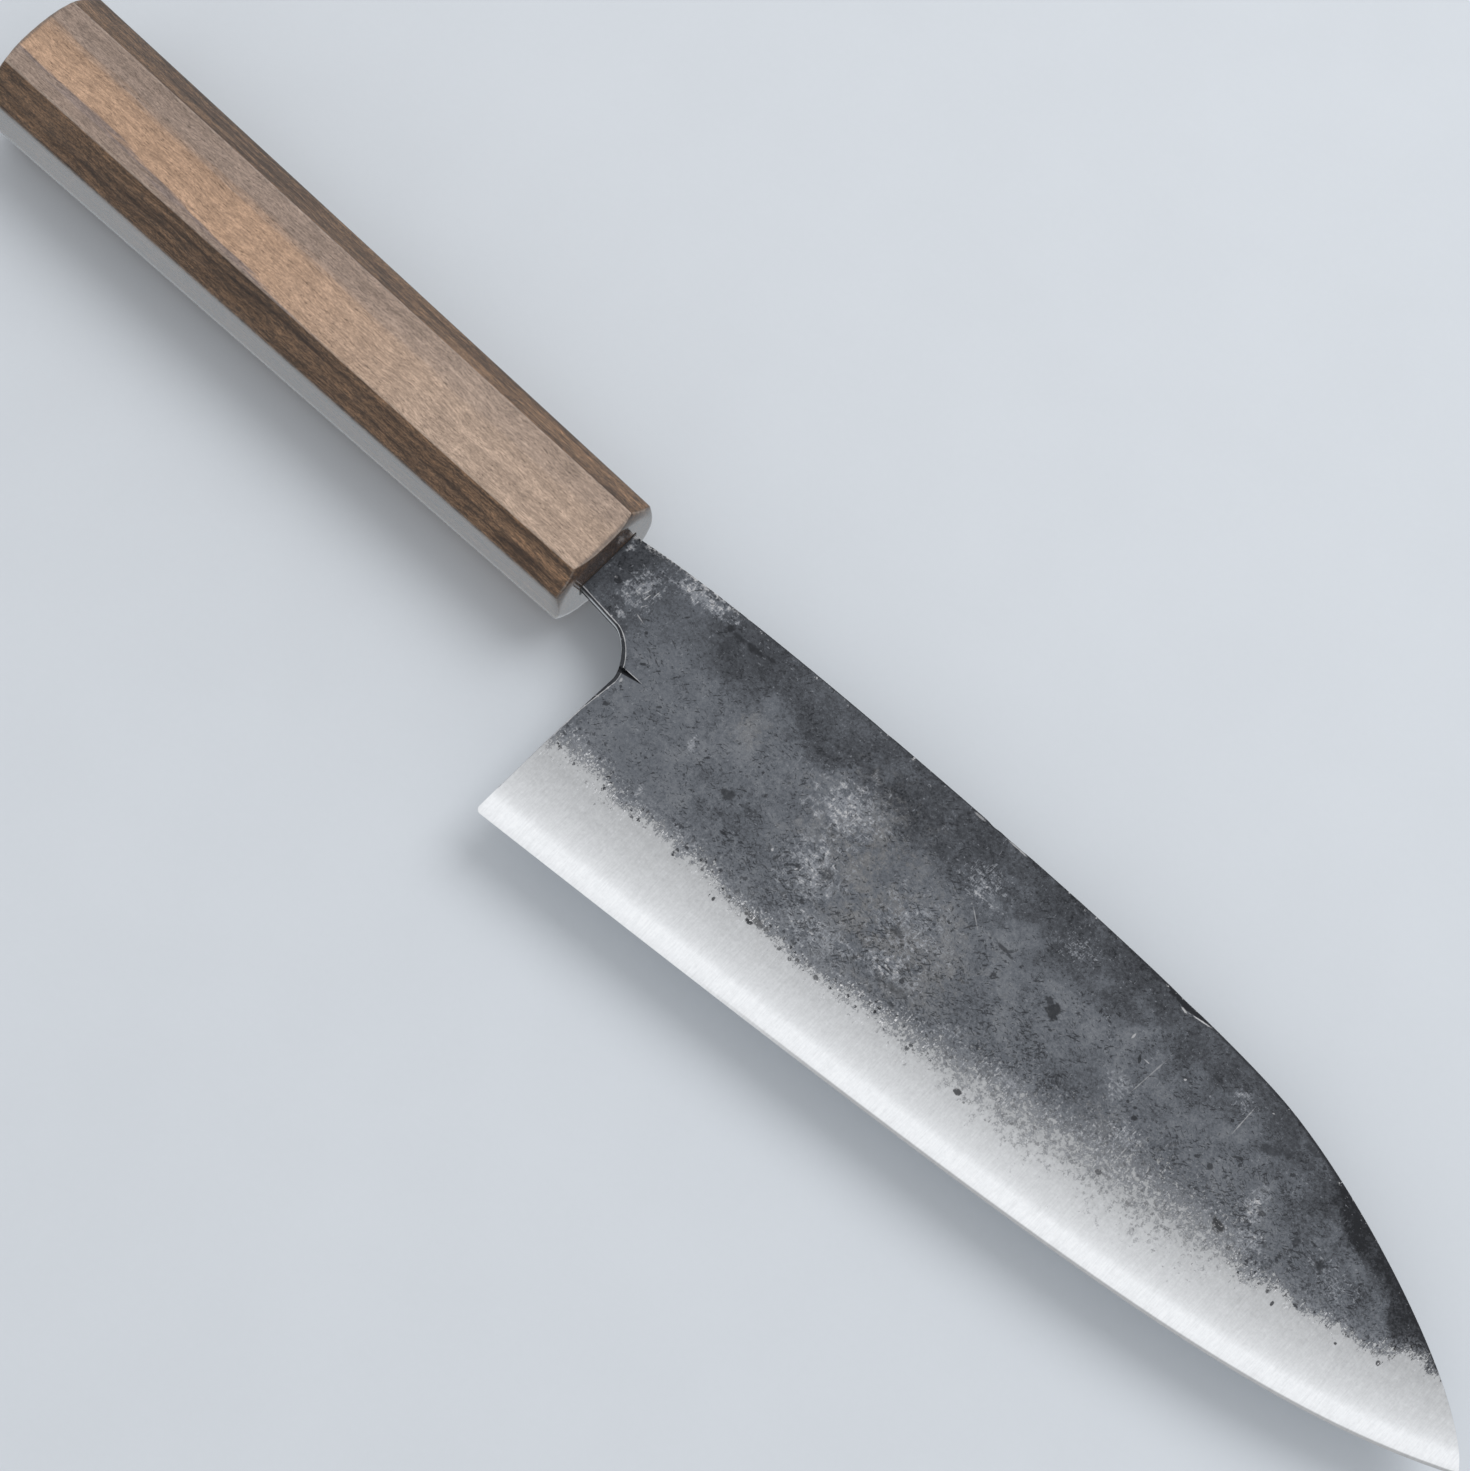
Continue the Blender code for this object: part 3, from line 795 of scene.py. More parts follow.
    @cached_property
    def busy(self) -> Wire:
        """Where the scale above the border is full of pits and strokes."""
        near = (self.above_line + self.patches.swing(30.0)).ramp(22.0, 8.0)
        return near * self.slow.ramp(0.3, 0.5) * self.x.ramp(30.0, 50.0)

    def tone(self) -> Wire:
        """How light the scale is.

        Returns:
            A level from about 0.2, deep black, to about 0.8, dusty grey.
        """
        x, patches, chips = self.x, self.patches, self.chips
        level = self.slow.swing(0.16) + patches.swing(0.26) + self.grain.swing(0.50)
        level = level + self.crumbs.swing(0.34) + chips.swing(0.14)
        plates = self.pattern((70.0, 0.0, 0.0), 0.26, 3.0, 0.55).ramp(0.52, 0.53)
        level = level + patches.ramp(0.545, 0.558) * 0.035 + plates * 0.022
        ahead = x.ramp(84.0, 96.0, 0.0, 2.6) + x.ramp(124.0, 138.0, 0.0, 3.4)
        by_spine = (self.rim + patches.swing(9.0) + chips.swing(3.0) + ahead).ramp(14.0, 5.5)
        by_spine = by_spine * (self.y.ramp(-6.0, 0.0) | x.ramp(60.0, 80.0)) * x.ramp(9.0, 24.0)
        level = level * (x.ramp(20.0, 34.0, 0.72, 1.0) - by_spine * 0.22)
        depths = (
            (self.chipped, 0.060),
            (self.nose, 0.26),
            ((x + self.tear * 3.0).ramp(15.0, 5.0), 0.15),
            (self.gather(self.finish.marks.shade), 0.14),
            (self.hazy, -0.08),
            (by_spine * (1.0 - self.nose), 0.155),
        )
        for mask, depth in depths:
            level = level - mask * depth
        return level + 0.52

    def scale_colour(self, level: Wire) -> Wire:
        """The colour of the scale before its specks: by its tone, with brown patches and a light dust.

        Args:
            level: how light the scale is.

        Returns:
            The colour.
        """
        w, finish = self.w, self.finish
        tints = (finish.deep, finish.dark, finish.middle, finish.pale, finish.dusty)
        colour = w.colours(level, list(zip((0.22, 0.38, 0.51, 0.65, 0.80), tints)))
        warm = self.gather(finish.marks.brown) * (self.patches + self.crumbs.swing(0.9)).ramp(0.40, 0.56)
        haze = w.shade(finish.haze, self.grain.ramp(0.3, 0.7, 0.66, 1.34))
        colour = w.blend(warm * 0.60, colour, haze)
        thin = self.dust.swing(1.1) + self.hatch.swing(1.2) + self.grain.swing(0.5) + self.hazy * 0.42
        return w.blend(thin.ramp(0.24, 0.40) * 0.80, colour, finish.dusty)

    def dark(self) -> Wire:
        """Where the face is deep black.

        Returns:
            A mask of marks, pits, strokes and specks, with painted shade in the nick, on the easings that
            face away from the light and along the spine's rim from x 92.
        """
        inner = (self.above_line - self.fade).ramp(-1.0, 3.0)
        smooth = 1.0 - self.nose * 0.5
        depths = (
            (self.pits, 0.75),
            (self.grains * self.above_line.ramp(14.0, 2.0), 0.70),
            (self.strokes(-38.0, (1.05, 2.9, 1.0), 0.348, 0.370) * inner, 0.75),
            (self.strokes(17.0, (1.2, 3.4, 1.0), 0.345, 0.365) * inner, 0.65),
            ((self.crumbs + self.busy * 0.045).ramp(0.630, 0.645), 0.55),
        )
        found = self.marked
        for mask, depth in depths:
            found = found | mask * (smooth * depth)
        # Painted shade: the easings that face away from the light, and a strip along the spine's rim from x
        # 92 on
        eased = self.past_arris.ramp(-0.03, -0.12) * 0.75
        by_spine = self.rim.ramp(0.65, 0.25) * (self.x.ramp(92.0, 102.0) * 0.7)
        return found | (self.nick | (eased | by_spine))

    def light(self, dark: Wire) -> Wire:
        """Where bare iron shows in the scale, and the painted glint along the choil.

        Args:
            dark: where the face is deep black.

        Returns:
            A mask of marks, the spine rubbed by the neck, the painted glint round the choil's easing, rims
            and sparks.
        """
        x, y, dust = self.x, self.y, self.dust
        by_neck = x.ramp(26.0, 17.0) * y.ramp(2.0, 5.5)
        spine = self.wear_and_glint(self.rim, 1.3, by_neck * 0.36 + 0.24)
        spine = spine * (self.grain + dust.swing(1.0)).ramp(0.42, 0.60)
        by_choil = x.ramp(34.0, 20.0) * y.ramp(1.0, -4.0)
        # Painted highlight: a bright line along the choil's easing, where the flat easing catches the light
        line = self.wear_and_glint(self.past_arris, 0.10, by_choil * 0.84 - 0.08)
        rubs = self.rim.ramp(1.0, 0.25) * (self.crumbs.swing(1.0) + dust.swing(1.2)).ramp(0.20, 0.30)
        sparks = (dust.swing(1.0) + self.hatch.swing(0.6) + self.hazy * 0.30).ramp(0.33, 0.42) * 0.9
        sparks = sparks | self.flecks(0.40, 0.14, 0.10, 0.30) * 0.75
        found = self.gather(self.finish.marks.light) | spine | line | rubs | sparks * (1.0 - dark)
        return found * (1.0 - self.nick)

    def border(self, colour: Wire, dark: Wire) -> tuple[Wire, Wire, Wire]:
        """The border between scale and ground iron, torn in a comb across the blade where it is wide.

        Args:
            colour: the colour of the scale.
            dark: where the face is deep black.

        Returns:
            A mask of the scale, the colour with the border's chips and mist, and a mask of the bright
            metal that shows along it.
        """
        w, torn, fade, upright = self.w, self.torn, self.fade, self.upright
        patches, chips, crumbs, grain, dust = self.patches, self.chips, self.crumbs, self.grain, self.dust
        above = self.above_line + crumbs.swing(3.8) + patches.swing(6.0) + dust.swing(2.4)
        above = above + chips.swing(3.0) * torn + upright.swing(torn.ramp(0.0, 1.0, 5.5, 3.0))
        share = above / fade
        ragged = grain.swing(3.0) + dust.swing(3.0) + (crumbs.swing(3.0) + chips.swing(2.2)) * torn
        crisp = torn.ramp(0.0, 1.0, 0.72, 0.60)
        scale = share.ramp(-0.4, 1.5) * (1.0 - crisp) + (share + ragged).ramp(0.30, 0.62) * crisp

        near = share.ramp(-0.35, 0.15) * share.ramp(2.4, 1.2)
        chipping = self.flecks(1.15, 0.42, 0.40, 1.1) * (near * torn.ramp(0.0, 1.0, 1.0, 0.60))
        spots = (self.pits | self.grains) * above.ramp(-1.6, -0.3) * fade.ramp(4.4, 2.6, 0.45, 1.0)
        scale = scale | (spots * 0.85 | (self.marked | chipping))
        colour = w.blend(chipping * 0.75, colour, self.finish.deep)

        misty = (above - fade).ramp(4.0, -0.5)
        misty = misty * (dust.swing(1.5) + upright.swing(1.0) + grain.swing(1.0)).ramp(-0.16, 0.16)
        misty = misty * (chips.swing(1.0) + patches.swing(0.6)).ramp(-0.14, 0.10, 0.35, 1.0)
        misty = misty * (1.0 - (dark | chipping))
        colour = w.blend(misty * torn.ramp(0.0, 1.0, 0.70, 0.66), colour, self.finish.dusty)

        along = share.ramp(-0.8, -0.1) * share.ramp(2.4, 1.0)
        along = along * (torn.ramp(0.0, 1.0, 0.95, 0.42) * chips.ramp(0.40, 0.56))
        glints = (crumbs.swing(0.9) + upright.swing(0.8) + grain.swing(0.7)).ramp(0.12, 0.20)
        glints = glints | (grain.swing(1.0) + dust.swing(1.0) + upright.swing(0.6)).ramp(0.14, 0.23)
        return scale, colour, glints * along

    def build(self) -> bpy.types.Material:
        """Wires the finish.

        Returns:
            The material.
        """
        w, finish = self.w, self.finish
        level, dark = self.tone(), self.dark()
        colour = w.blend(dark, self.scale_colour(level), finish.deep)
        colour = w.blend(self.light(dark), colour, finish.bare)
        scale, colour, glints = self.border(colour, dark)
        above = w.measure(Measure.ABOVE_EDGE)
        band = w.use(self.effects.ground_band, {"Position": self.position, "Above Edge": above})
        iron = w.shade(finish.steel.tint, band["Tone"] * finish.steel.level)
        relief = self.patches * 0.9 + self.crumbs * 0.5 + self.grain * 0.25
        relief = (relief - (dark | self.chipped * 0.5) * 0.30) * scale
        inputs = {
            "Base Color": w.blend(glints, w.blend(scale, iron, colour), finish.glint),
            "Metallic": scale.ramp(0.0, 1.0, 1.0, 0.12),
            "IOR": 1.32,
            "Roughness": level.ramp(0.3, 0.7, 0.55, 0.42) * scale + (1.0 - scale) * 0.36,
            "Normal": w.bump(relief, 0.07, w.bump(band["Relief"], 0.004)),
        }
        w.fill(self.shader, inputs)
        return self.material


@dataclass(frozen=True)
class Walnut:
    """Oiled and lacquered brown wood, its fibres along the handle, its wide facets painted lighter as lit
    and its flanks painted darker as shaded.
    """

    name: str = "walnut"
    brown: Colour = (0.040, 0.021, 0.011)
    tan: Colour = (0.165, 0.094, 0.050)
    lit_amber: Colour = (0.440, 0.285, 0.190)
    reflected_grey: Colour = (0.265, 0.205, 0.172)
    reflected_mauve: Colour = (0.190, 0.150, 0.140)
    lit_rose: Colour = (0.420, 0.310, 0.238)
    pore: Colour = (0.035, 0.020, 0.012)
    arris_highlight_tint: Colour = (0.50, 0.42, 0.34)
    length: float = 119.0
    facet_taper: float = 0.01342  # by which the wide facets come in for each millimetre
    flank_taper: float = 0.01426  # the same for the flanks

    def material(self, effects: Effects) -> bpy.types.Material:
        """Builds the finish.

        Args:
            effects: the shared node groups.

        Returns:
            The material.
        """
        material, w, shader = new_material(self.name)
        position = w.place()
        x, y, z = w.parts(position)

        def lines(along: float, across: float, sway: float) -> Wire:
            """Streaks of the wood, so close along and across the fibres."""
            inputs = {"Position": position, "Stretch": (along, across, across), "Sway": sway}
            return w.use(effects.streaks, inputs)["Value"]

        fibre, short = lines(0.05, 1.2, 1.0), lines(0.60, 3.6, 1.4)
        bands, grown = lines(0.012, 0.24, 1.2), lines(0.018, 0.55, 1.0)
        fine = w.noise(w.vector("MULTIPLY", position, (2.2, 6.5, 6.5)), 1.0, 3.0, 0.75)
        curl = lines(0.42, 0.30, 0.5)
        pores = lines(0.80, 5.2, 1.6).ramp(0.415, 0.36)
        facet = (abs(z) + x * self.facet_taper).ramp(8.30, 8.44)
        flank = (abs(y) + x * self.flank_taper).ramp(9.84, 9.98)
        ends = x.ramp(-1.0, -0.35) | x.ramp(-118.3, -118.9)

        # The wood of the narrow facets, painted darker on the flanks as shade
        figure = fibre * 0.45 + grown * 0.30 + bands * 0.25
        golden = w.shade(self.tan, x.ramp(-70.0, -20.0, 1.0, 1.28))
        narrow_facet_wood = w.blend(figure.ramp(0.39, 0.63), self.brown, golden)
        narrow_facet_wood = w.shade(narrow_facet_wood, (short + (fine - 0.5)).ramp(0.30, 0.70, 0.66, 1.36))
        painted_flank_shade = w.blend(short.ramp(0.3, 0.7), self.brown, self.tan)
        narrow_facet_wood = w.blend(flank * 0.7, narrow_facet_wood, w.shade(painted_flank_shade, fibre.ramp(0.3, 0.7, 0.50, 0.70)))

        # The wide facets are painted lighter, from amber to rose towards the mouth, as the sheen and light
        # that fall on them, with grey strips of painted reflection
        lit_amber = w.blend(x.ramp(-75.0, -25.0), self.lit_amber, self.lit_rose)
        strip = y + bands.swing(3.0) + fibre.swing(3.0)
        upper = strip.ramp(1.2, 3.0) * x.ramp(-10.0, -70.0, 0.45, 1.0)
        below = (x + self.length) * -0.052 - (strip + 3.3)
        line = below.ramp(-0.5, 0.1) * below.ramp(0.9, 0.2)
        painted_lit_facets = w.blend((upper | below.ramp(-0.4, 0.5)) * 0.85, lit_amber, self.reflected_grey)
        painted_lit_facets = w.blend(line * 0.75, painted_lit_facets, self.reflected_mauve)
        painted_lit_facets = w.shade(painted_lit_facets, figure.ramp(0.32, 0.68, 0.80, 1.18))

        colour = w.blend(ends * 0.65, w.blend(facet, narrow_facet_wood, painted_lit_facets), self.brown)
        colour = w.shade(colour, short.ramp(0.30, 0.70, 0.76, 1.22))
        colour = w.shade(colour, fine.ramp(0.25, 0.75, 0.72, 1.28))
        colour = w.shade(colour, curl.ramp(0.25, 0.75, 0.90, 1.10))
        colour = w.blend(pores * facet.ramp(0.0, 1.0, 0.60, 0.50), colour, self.pore)
        # Painted highlight: a thin lighter line along the arrises
        rim = {"Position": position, "From Rim": w.measure(Measure.FROM_RIM), "Reach": 0.30, "Cover": 0.60}
        wear_and_glint = w.use(effects.worn_edge, rim)["Mask"] * 0.22
        # The lacquer is whole on the flanks and the ends, and rubbed thin where the hand holds the knife
        lacquer = fibre.ramp(0.3, 0.7, 0.16, 0.30) | (flank | ends)
        inputs = {
            "Base Color": w.blend(wear_and_glint, colour, self.arris_highlight_tint),
            "Roughness": fine.ramp(0.2, 0.8, 0.50, 0.38),
            "IOR": 1.30,
            "Coat Weight": lacquer,
            "Coat Roughness": 0.06,
            "Coat IOR": 1.75,
            "Normal": w.bump((fine - pores * 0.5) * (1.0 - flank * 0.9), 0.010),
        }
        w.fill(shader, inputs)
        return material


@dataclass(frozen=True)
class Resin:
    """A dark cast filler: the bedding in the bore, or the seal at the mouth."""

    name: str
    low: Colour
    high: Colour
    roughness: float
    unevenness: float = 0.08  # by which the mottling changes the roughness either way

    def material(self, effects: Effects) -> bpy.types.Material:
        """Builds the finish.

        Args:
            effects: the shared node groups.

        Returns:
            The material.
        """
        material, w, shader = new_material(self.name)
        mottle = w.use(effects.mottling, {"Position": w.place(), "Broad": 0.5, "Fine": 4.0})
        smooth, rough = self.roughness - self.unevenness, self.roughness + self.unevenness
        inputs = {
            "Base Color": w.blend(mottle["Tone"].ramp(0.3, 0.7), self.low, self.high),
            "Roughness": mottle["Relief"].ramp(0.3, 0.7, smooth, rough),
            "Normal": w.bump(mottle["Relief"], 0.02),
        }
        w.fill(shader, inputs)
        return material


# ---------------------------------------------------------------------------------------------------
# Blade


@dataclass(frozen=True)
class Blade:
    """The three-layer blade with its neck and tang. Field names follow the CAD source.

    A pair for a curve's end is its slope there and the share of the run that keeps to it. The tables of
    the last fields are in x and y, the fade's in x and millimetres.
    """

    neck_length: float = 7.4
    neck_top: float = 6.1
    neck_bottom: float = 5.2
    neck_droop: float = 0.7
    curve_length: float = 5.6
    curve_drop: float = 6.5
    curve_hold_neck: float = 0.38
    curve_hold_choil: float = 0.40
    choil_lean: float = 0.6
    blade_length: float = 163.7
    heel_drop: float = 40.3
    heel_radius: float = 0.8
    heel: Point = (0.082, 0.65)
    tip_drop: float = 15.3
    tip_edge: Point = (0.477, 0.16)
    spine_start: Point = (0.183, 0.22)
    crown_distance: float = 71.4
    crown_height: float = 9.85
    crown_holds: Point = (0.17, 0.22)
    nose_length: float = 50.2
    nose_height: float = 7.85
    nose_slope: float = -0.16
    nose_holds: Point = (0.23, 0.33)
    tip_spine: Point = (-1.79, 0.095)
    neck_thickness: float = 2.6
    shoulder_thickness: float = 1.9
    core_thickness: float = 0.8
    edge_thickness: float = 0.1
    shoulder_height: float = 12.5
    shoulder_blur: float = 1.2
    bare_core: Point = (4.5, 3.0)  # height at the heel and at the tip
    spine_easing: float = 0.3
    neck_easing: float = 0.2
    choil_easing: Point = (0.7, 0.5)  # width and depth
    choil_easing_fade: float = 7.0
    arris: float = 0.07  # width of the least easing along the choil
    nick_drop: float = 10.1
    nick: Triple = (4.2, 1.0, 0.65)  # length, width and depth
    tang_length: float = 85.0
    tang_end: Triple = (3.0, 2.8, 1.8)  # top, bottom and thickness
    spacing: float = 0.5  # between columns and between rows of points
    spine_rows: Row = (1.7, 1.0, 0.72, 0.45, 0.22, 0.06, 0.0)  # below the spine, in widths of its easing
    chamfer_shares: Row = (0.0, 0.1, 0.3, 0.5, 0.7, 0.86, 0.94, 1.0)  # across an easing, from the rim
    nick_rows: Row = (0.15, 0.01, -0.02, -0.2, -0.4, -0.6, -0.8, -1.0)  # off the nick's upper side
    tang_columns_back: Row = (1.0, 0.85, 0.7, 0.55, 0.4, 0.25, 0.12, 0.04)  # shares of the tang's length
    lean_reach: float = 14.0  # distance from the choil at which the columns stand upright
    hammer_depth: float = 0.045
    dents: tuple[Triple, ...] = (  # place along the spine, half width and depth
        (68.4, 0.9, 0.16), (71.2, 1.4, 0.10), (73.6, 0.8, 0.07), (47.5, 1.0, 0.06), (105.5, 2.4, 0.08),
    )
    scale_line: tuple[Point, ...] = (
        (13.0, -27.0), (16.0, -25.5), (20.0, -25.6), (25.0, -26.6), (30.0, -25.6), (40.0, -25.0),
        (50.0, -25.5), (62.0, -25.4), (70.0, -24.3), (80.0, -23.8), (90.0, -22.6), (100.0, -22.1),
        (110.0, -20.4), (120.0, -20.0), (130.0, -17.6), (136.0, -15.6), (140.0, -14.5), (145.0, -13.0),
        (150.0, -12.5), (155.0, -11.0), (158.0, -9.5), (160.0, -8.0), (165.0, -7.0), (176.0, -3.0),
    )
    scale_fade: tuple[Point, ...] = (
        (13.0, 2.8), (19.0, 2.5), (26.0, 1.8), (65.0, 1.7), (75.0, 2.4), (85.0, 3.5), (100.0, 5.2),
        (110.0, 6.1), (120.0, 6.5), (130.0, 5.8), (135.0, 2.4), (139.0, 1.2), (176.0, 1.0),
    )
    nose_line: tuple[Point, ...] = (
        (124.0, 9.5), (130.0, 6.4), (136.0, 4.7), (140.0, 3.0), (141.5, 0.4), (146.0, -1.6), (149.5, -2.2),
        (151.0, -1.6), (154.0, -3.6), (155.5, -6.0), (158.0, -8.5), (176.0, -30.0),
    )

    @property
    def half_core(self) -> float:
        """Half of the core's thickness."""
        return self.core_thickness / 2

    @property
    def choil_x(self) -> float:
        """Where the choil begins, below the curve."""
        return self.neck_length + self.curve_length

    @property
    def curve_top(self) -> float:
        """Y where the neck's underside turns into the curve."""
        return -self.neck_bottom - self.neck_droop

    @property
    def choil_top(self) -> float:
        """Y where the curve ends and the straight choil begins."""
        return self.curve_top - self.curve_drop

    @property
    def heel_x(self) -> float:
        """X of the heel."""
        return self.choil_x - self.choil_lean

    @property
    def tip(self) -> Point:
        """The blade's point."""
        return (self.heel_x + self.blade_length, -self.tip_drop)

    @cached_property
    def spine_curve(self) -> np.ndarray:
        """The spine in three sweeps: up from the neck, level past the crown, down to the tip.

        Returns:
            An array of rows of x and y.
        """
        mouth = (0.0, self.neck_top)
        crown = (self.choil_x + self.crown_distance, self.crown_height)
        nose = (self.tip[0] - self.nose_length, self.nose_height)
        rise = swept_curve(mouth, self.spine_start, crown, (0.0, self.crown_holds[0]))
        level = swept_curve(crown, (0.0, self.crown_holds[1]), nose, (self.nose_slope, self.nose_holds[0]))
        fall = swept_curve(nose, (self.nose_slope, self.nose_holds[1]), self.tip, self.tip_spine)
        return np.vstack((rise, level[1:], fall[1:]))

    @cached_property
    def edge_curve(self) -> np.ndarray:
        """The cutting edge, one long sweep from the heel to the tip."""
        return swept_curve((self.heel_x, -self.heel_drop), self.heel, self.tip, self.tip_edge)

    def spine(self, x: float) -> float:
        """Y of the spine above x, with the small dents of the forging."""
        bruised = sum(depth * math.exp(-(((x - at) / width) ** 2)) for at, width, depth in self.dents)
        return float(np.interp(x, self.spine_curve[:, 0], self.spine_curve[:, 1])) - bruised

    def edge(self, x: float) -> float:
        """Y of the cutting edge at x, before the heel's corner is rounded."""
        return float(np.interp(x, self.edge_curve[:, 0], self.edge_curve[:, 1]))

    def rounded_edge(self, x: float) -> float:
        """Y of the cutting edge, with the heel's corner rounded.

        Args:
            x: the place along the blade.

        Returns:
            Y there.
        """
        short = x - self.heel_x - self.heel_radius
        if short >= 0:
            return self.edge(x)
        middle = self.edge(self.heel_x + self.heel_radius) + self.heel_radius
        return middle - math.sqrt(max(self.heel_radius**2 - short**2, 0.0))

    def bare_height(self, x: float) -> float:
        """Height of the strip of bare core above the edge at x."""
        return mix(*self.bare_core, (x - self.heel_x) / self.blade_length)

    def bare_line(self, x: float) -> float:
        """Y of the line where the outer layers begin."""
        return min(self.edge(x) + self.bare_height(x), self.spine(x))

    def choil(self, y: float) -> float:
        """X of the choil at y."""
        return float(np.interp(y, (self.edge(self.heel_x), self.choil_top), (self.heel_x, self.choil_x)))

    def meeting(self, height: float | None) -> float:
        """X where a line at a height above the edge meets the spine.

        Args:
            height: the height, or None for the bare core's own.

        Returns:
            X of the meeting point, found by halving.
        """
        low, high = self.heel_x, self.tip[0]
        for _ in range(50):
            middle = (low + high) / 2
            line = self.bare_height(middle) if height is None else height
            if self.spine(middle) - self.edge(middle) > line:
                low = middle
            else:
                high = middle
        return low

    @cached_property
    def shoulder_end(self) -> float:
        """X where the shoulder of the bevel meets the spine."""
        return self.meeting(self.shoulder_height)

    @cached_property
    def cladding_end(self) -> float:
        """X where the outer layers end."""
        return self.meeting(None)

    def blade_half(self, x: float, y: float) -> float:
        """Half of the blade's thickness ahead of the choil.

        Args:
            x: the place along the blade.
            y: the place across it.

        Returns:
            The distance of the outer face from the blade's middle plane.
        """
        levels = [0.0, self.bare_height(x), self.shoulder_height]
        halves = [self.edge_thickness / 2, self.half_core, self.shoulder_thickness / 2]
        height = self.spine(x) - self.edge(x)
        if height > self.shoulder_height:
            levels.append(height)
            halves.append(mix(self.neck_thickness, self.shoulder_thickness, x / self.shoulder_end) / 2)
        above = y - self.edge(x)
        bare = self.bare_height(x)
        blur = self.shoulder_blur * float(smooth_step(above, bare, bare + 3.0))
        places = (above - blur, above, above + blur)
        return sum(float(np.interp(place, levels, halves)) for place in places) / len(places)

    def half(self, x: float, y: float) -> float:
        """Half of the thickness anywhere on the blade, neck or tang.

        Args:
            x: the place along the knife.
            y: the place across it.

        Returns:
            The distance of the outer face from the middle plane.
        """
        if x <= 0:
            return mix(self.neck_thickness, self.tang_end[2], -x / self.tang_length) / 2
        if x >= self.heel_x:
            return self.blade_half(x, y)
        return mix(self.neck_thickness / 2, self.blade_half(self.heel_x, y), x / self.heel_x)

    def nick_depth(self, x: float, y: float) -> float:
        """Depth of the small nick across the choil's top, upright on its upper side and slanting below.

        Args:
            x: the place along the blade.
            y: the place across it.

        Returns:
            Its depth there, 0 outside it.
        """
        length, width, depth = self.nick
        left = min((self.choil_x + length - x) / length, 1.2)
        below = -self.nick_drop - y
        if left <= 0 or below < 0:
            return 0.0
        return max(depth * left - below * depth / width, 0.0)

    # Columns of points. Each is x, y, the depth that easing takes off the outer face, the distance to the
    # rim, and the distance past the inner arris of the easing there.

    def top_points(self, x: float, foot: float) -> Column:
        """The points of a column from near the spine up to it, over the spine's rounded arris.

        Args:
            x: the column's place.
            foot: Y of the column's foot.

        Returns:
            The points, from below.
        """
        spine = self.spine(x)
        layer = max(self.half(x, spine) - self.half_core, 0.0)
        easing = min(self.spine_easing, layer * 0.5, (spine - foot) * 0.4)
        if x <= 0:
            easing = 0.0
        points = []
        for share in self.spine_rows:
            inside = max(1.0 - share, 0.0)
            taken = easing * (1.0 - math.sqrt(1.0 - inside**2)) * float(smooth_step(x, 0.0, 0.3))
            points.append((x, spine - easing * share, taken, easing * share, easing * share - easing))
        return points

    @cached_property
    def rise_shares(self) -> list[float]:
        """Shares of a column between the choil's top level and the spine, closer together at the nick.

        Returns:
            The shares, in rising order from 0.
        """
        start = self.choil_x + self.choil_easing[0]
        height = self.spine(start) - self.choil_top
        at_nick = [-self.nick_drop + off for off in self.nick_rows]
        shares = [(y - self.choil_top) / height for y in at_nick]
        count = round(height / self.spacing)
        shares += [step / count for step in range(count) if not shares[-1] < step / count < shares[0]]
        return sorted(shares)

    def rise(self, x: float, foot: float) -> Column:
        """The upper part of a column.

        Args:
            x: the column's place.
            foot: Y of its foot.

        Returns:
            The points from the foot to the spine.
        """
        top = self.top_points(x, foot)
        reach = top[0][1] - foot
        easing = top[1][3]
        points = []
        for share in self.rise_shares:
            rim = self.spine(x) - foot - reach * share
            points.append((x, foot + reach * share, 0.0, rim, rim - easing))
        return points + top

    def chamfer(self, share: float, depth: float) -> float:
        """Depth taken off a share of the way across a flat easing with softened arrises."""
        return depth * max(1.0 - share - 0.03 * math.sin(math.pi * share), 0.0)

    def choil_width(self, y: float) -> Point:
        """Width and depth of the choil's easing.

        Args:
            y: the place along the choil.

        Returns:
            Both, which fade to the least easing further down.
        """
        full = float(np.interp(y, (self.choil_top - self.choil_easing_fade, self.choil_top), (0.0, 1.0)))
        width, depth = self.choil_easing
        return mix(self.arris, width, full), mix(self.arris, depth, full)

    def low_column(self, start: float, offset: float, share: float | None) -> Column:
        """A column of the blade from the edge up to the choil's top level.

        Args:
            start: X of the column where it stands on the edge.
            offset: how far it keeps from the choil's easing further up.
            share: its place within the easing, or None ahead of it.

        Returns:
            The column's points, first those of the bare core.
        """
        lean = max(0.0, 1.0 - offset / self.lean_reach)
        bare = self.bare_line(start)
        levels = [mix(self.rounded_edge(start), bare, part) for part in self.bare_shares]
        foot = self.foot(start)
        levels += [mix(bare, foot, part) for part in self.band_shares]
        points = []
        for y in levels:
            width, depth = self.choil_width(y)
            if share is None:
                x = start + (self.choil(y) + width - self.heel_x - self.arris) * lean
                rim = min(x - self.choil(y), self.spine(x) - y)
                points.append((x, y, 0.0, rim, rim - width))
            else:
                x = self.choil(y) + width * share
                points.append((x, y, self.chamfer(share, depth), width * share, width * (share - 1)))
        return points

    @cached_property
    def bare_shares(self) -> list[float]:
        """Shares of the bare core's height."""
        return [0.0, 0.05, 0.10] + [step / 10 for step in range(2, 10)] + [1.0]

    @cached_property
    def band_shares(self) -> list[float]:
        """Shares of the height between the bare core and the choil's top level.

        Returns:
            The shares, in rising order up to 1.
        """
        count = round((self.choil_top + self.heel_drop - self.bare_core[0]) / self.spacing)
        return [step / count for step in range(1, count + 1)]

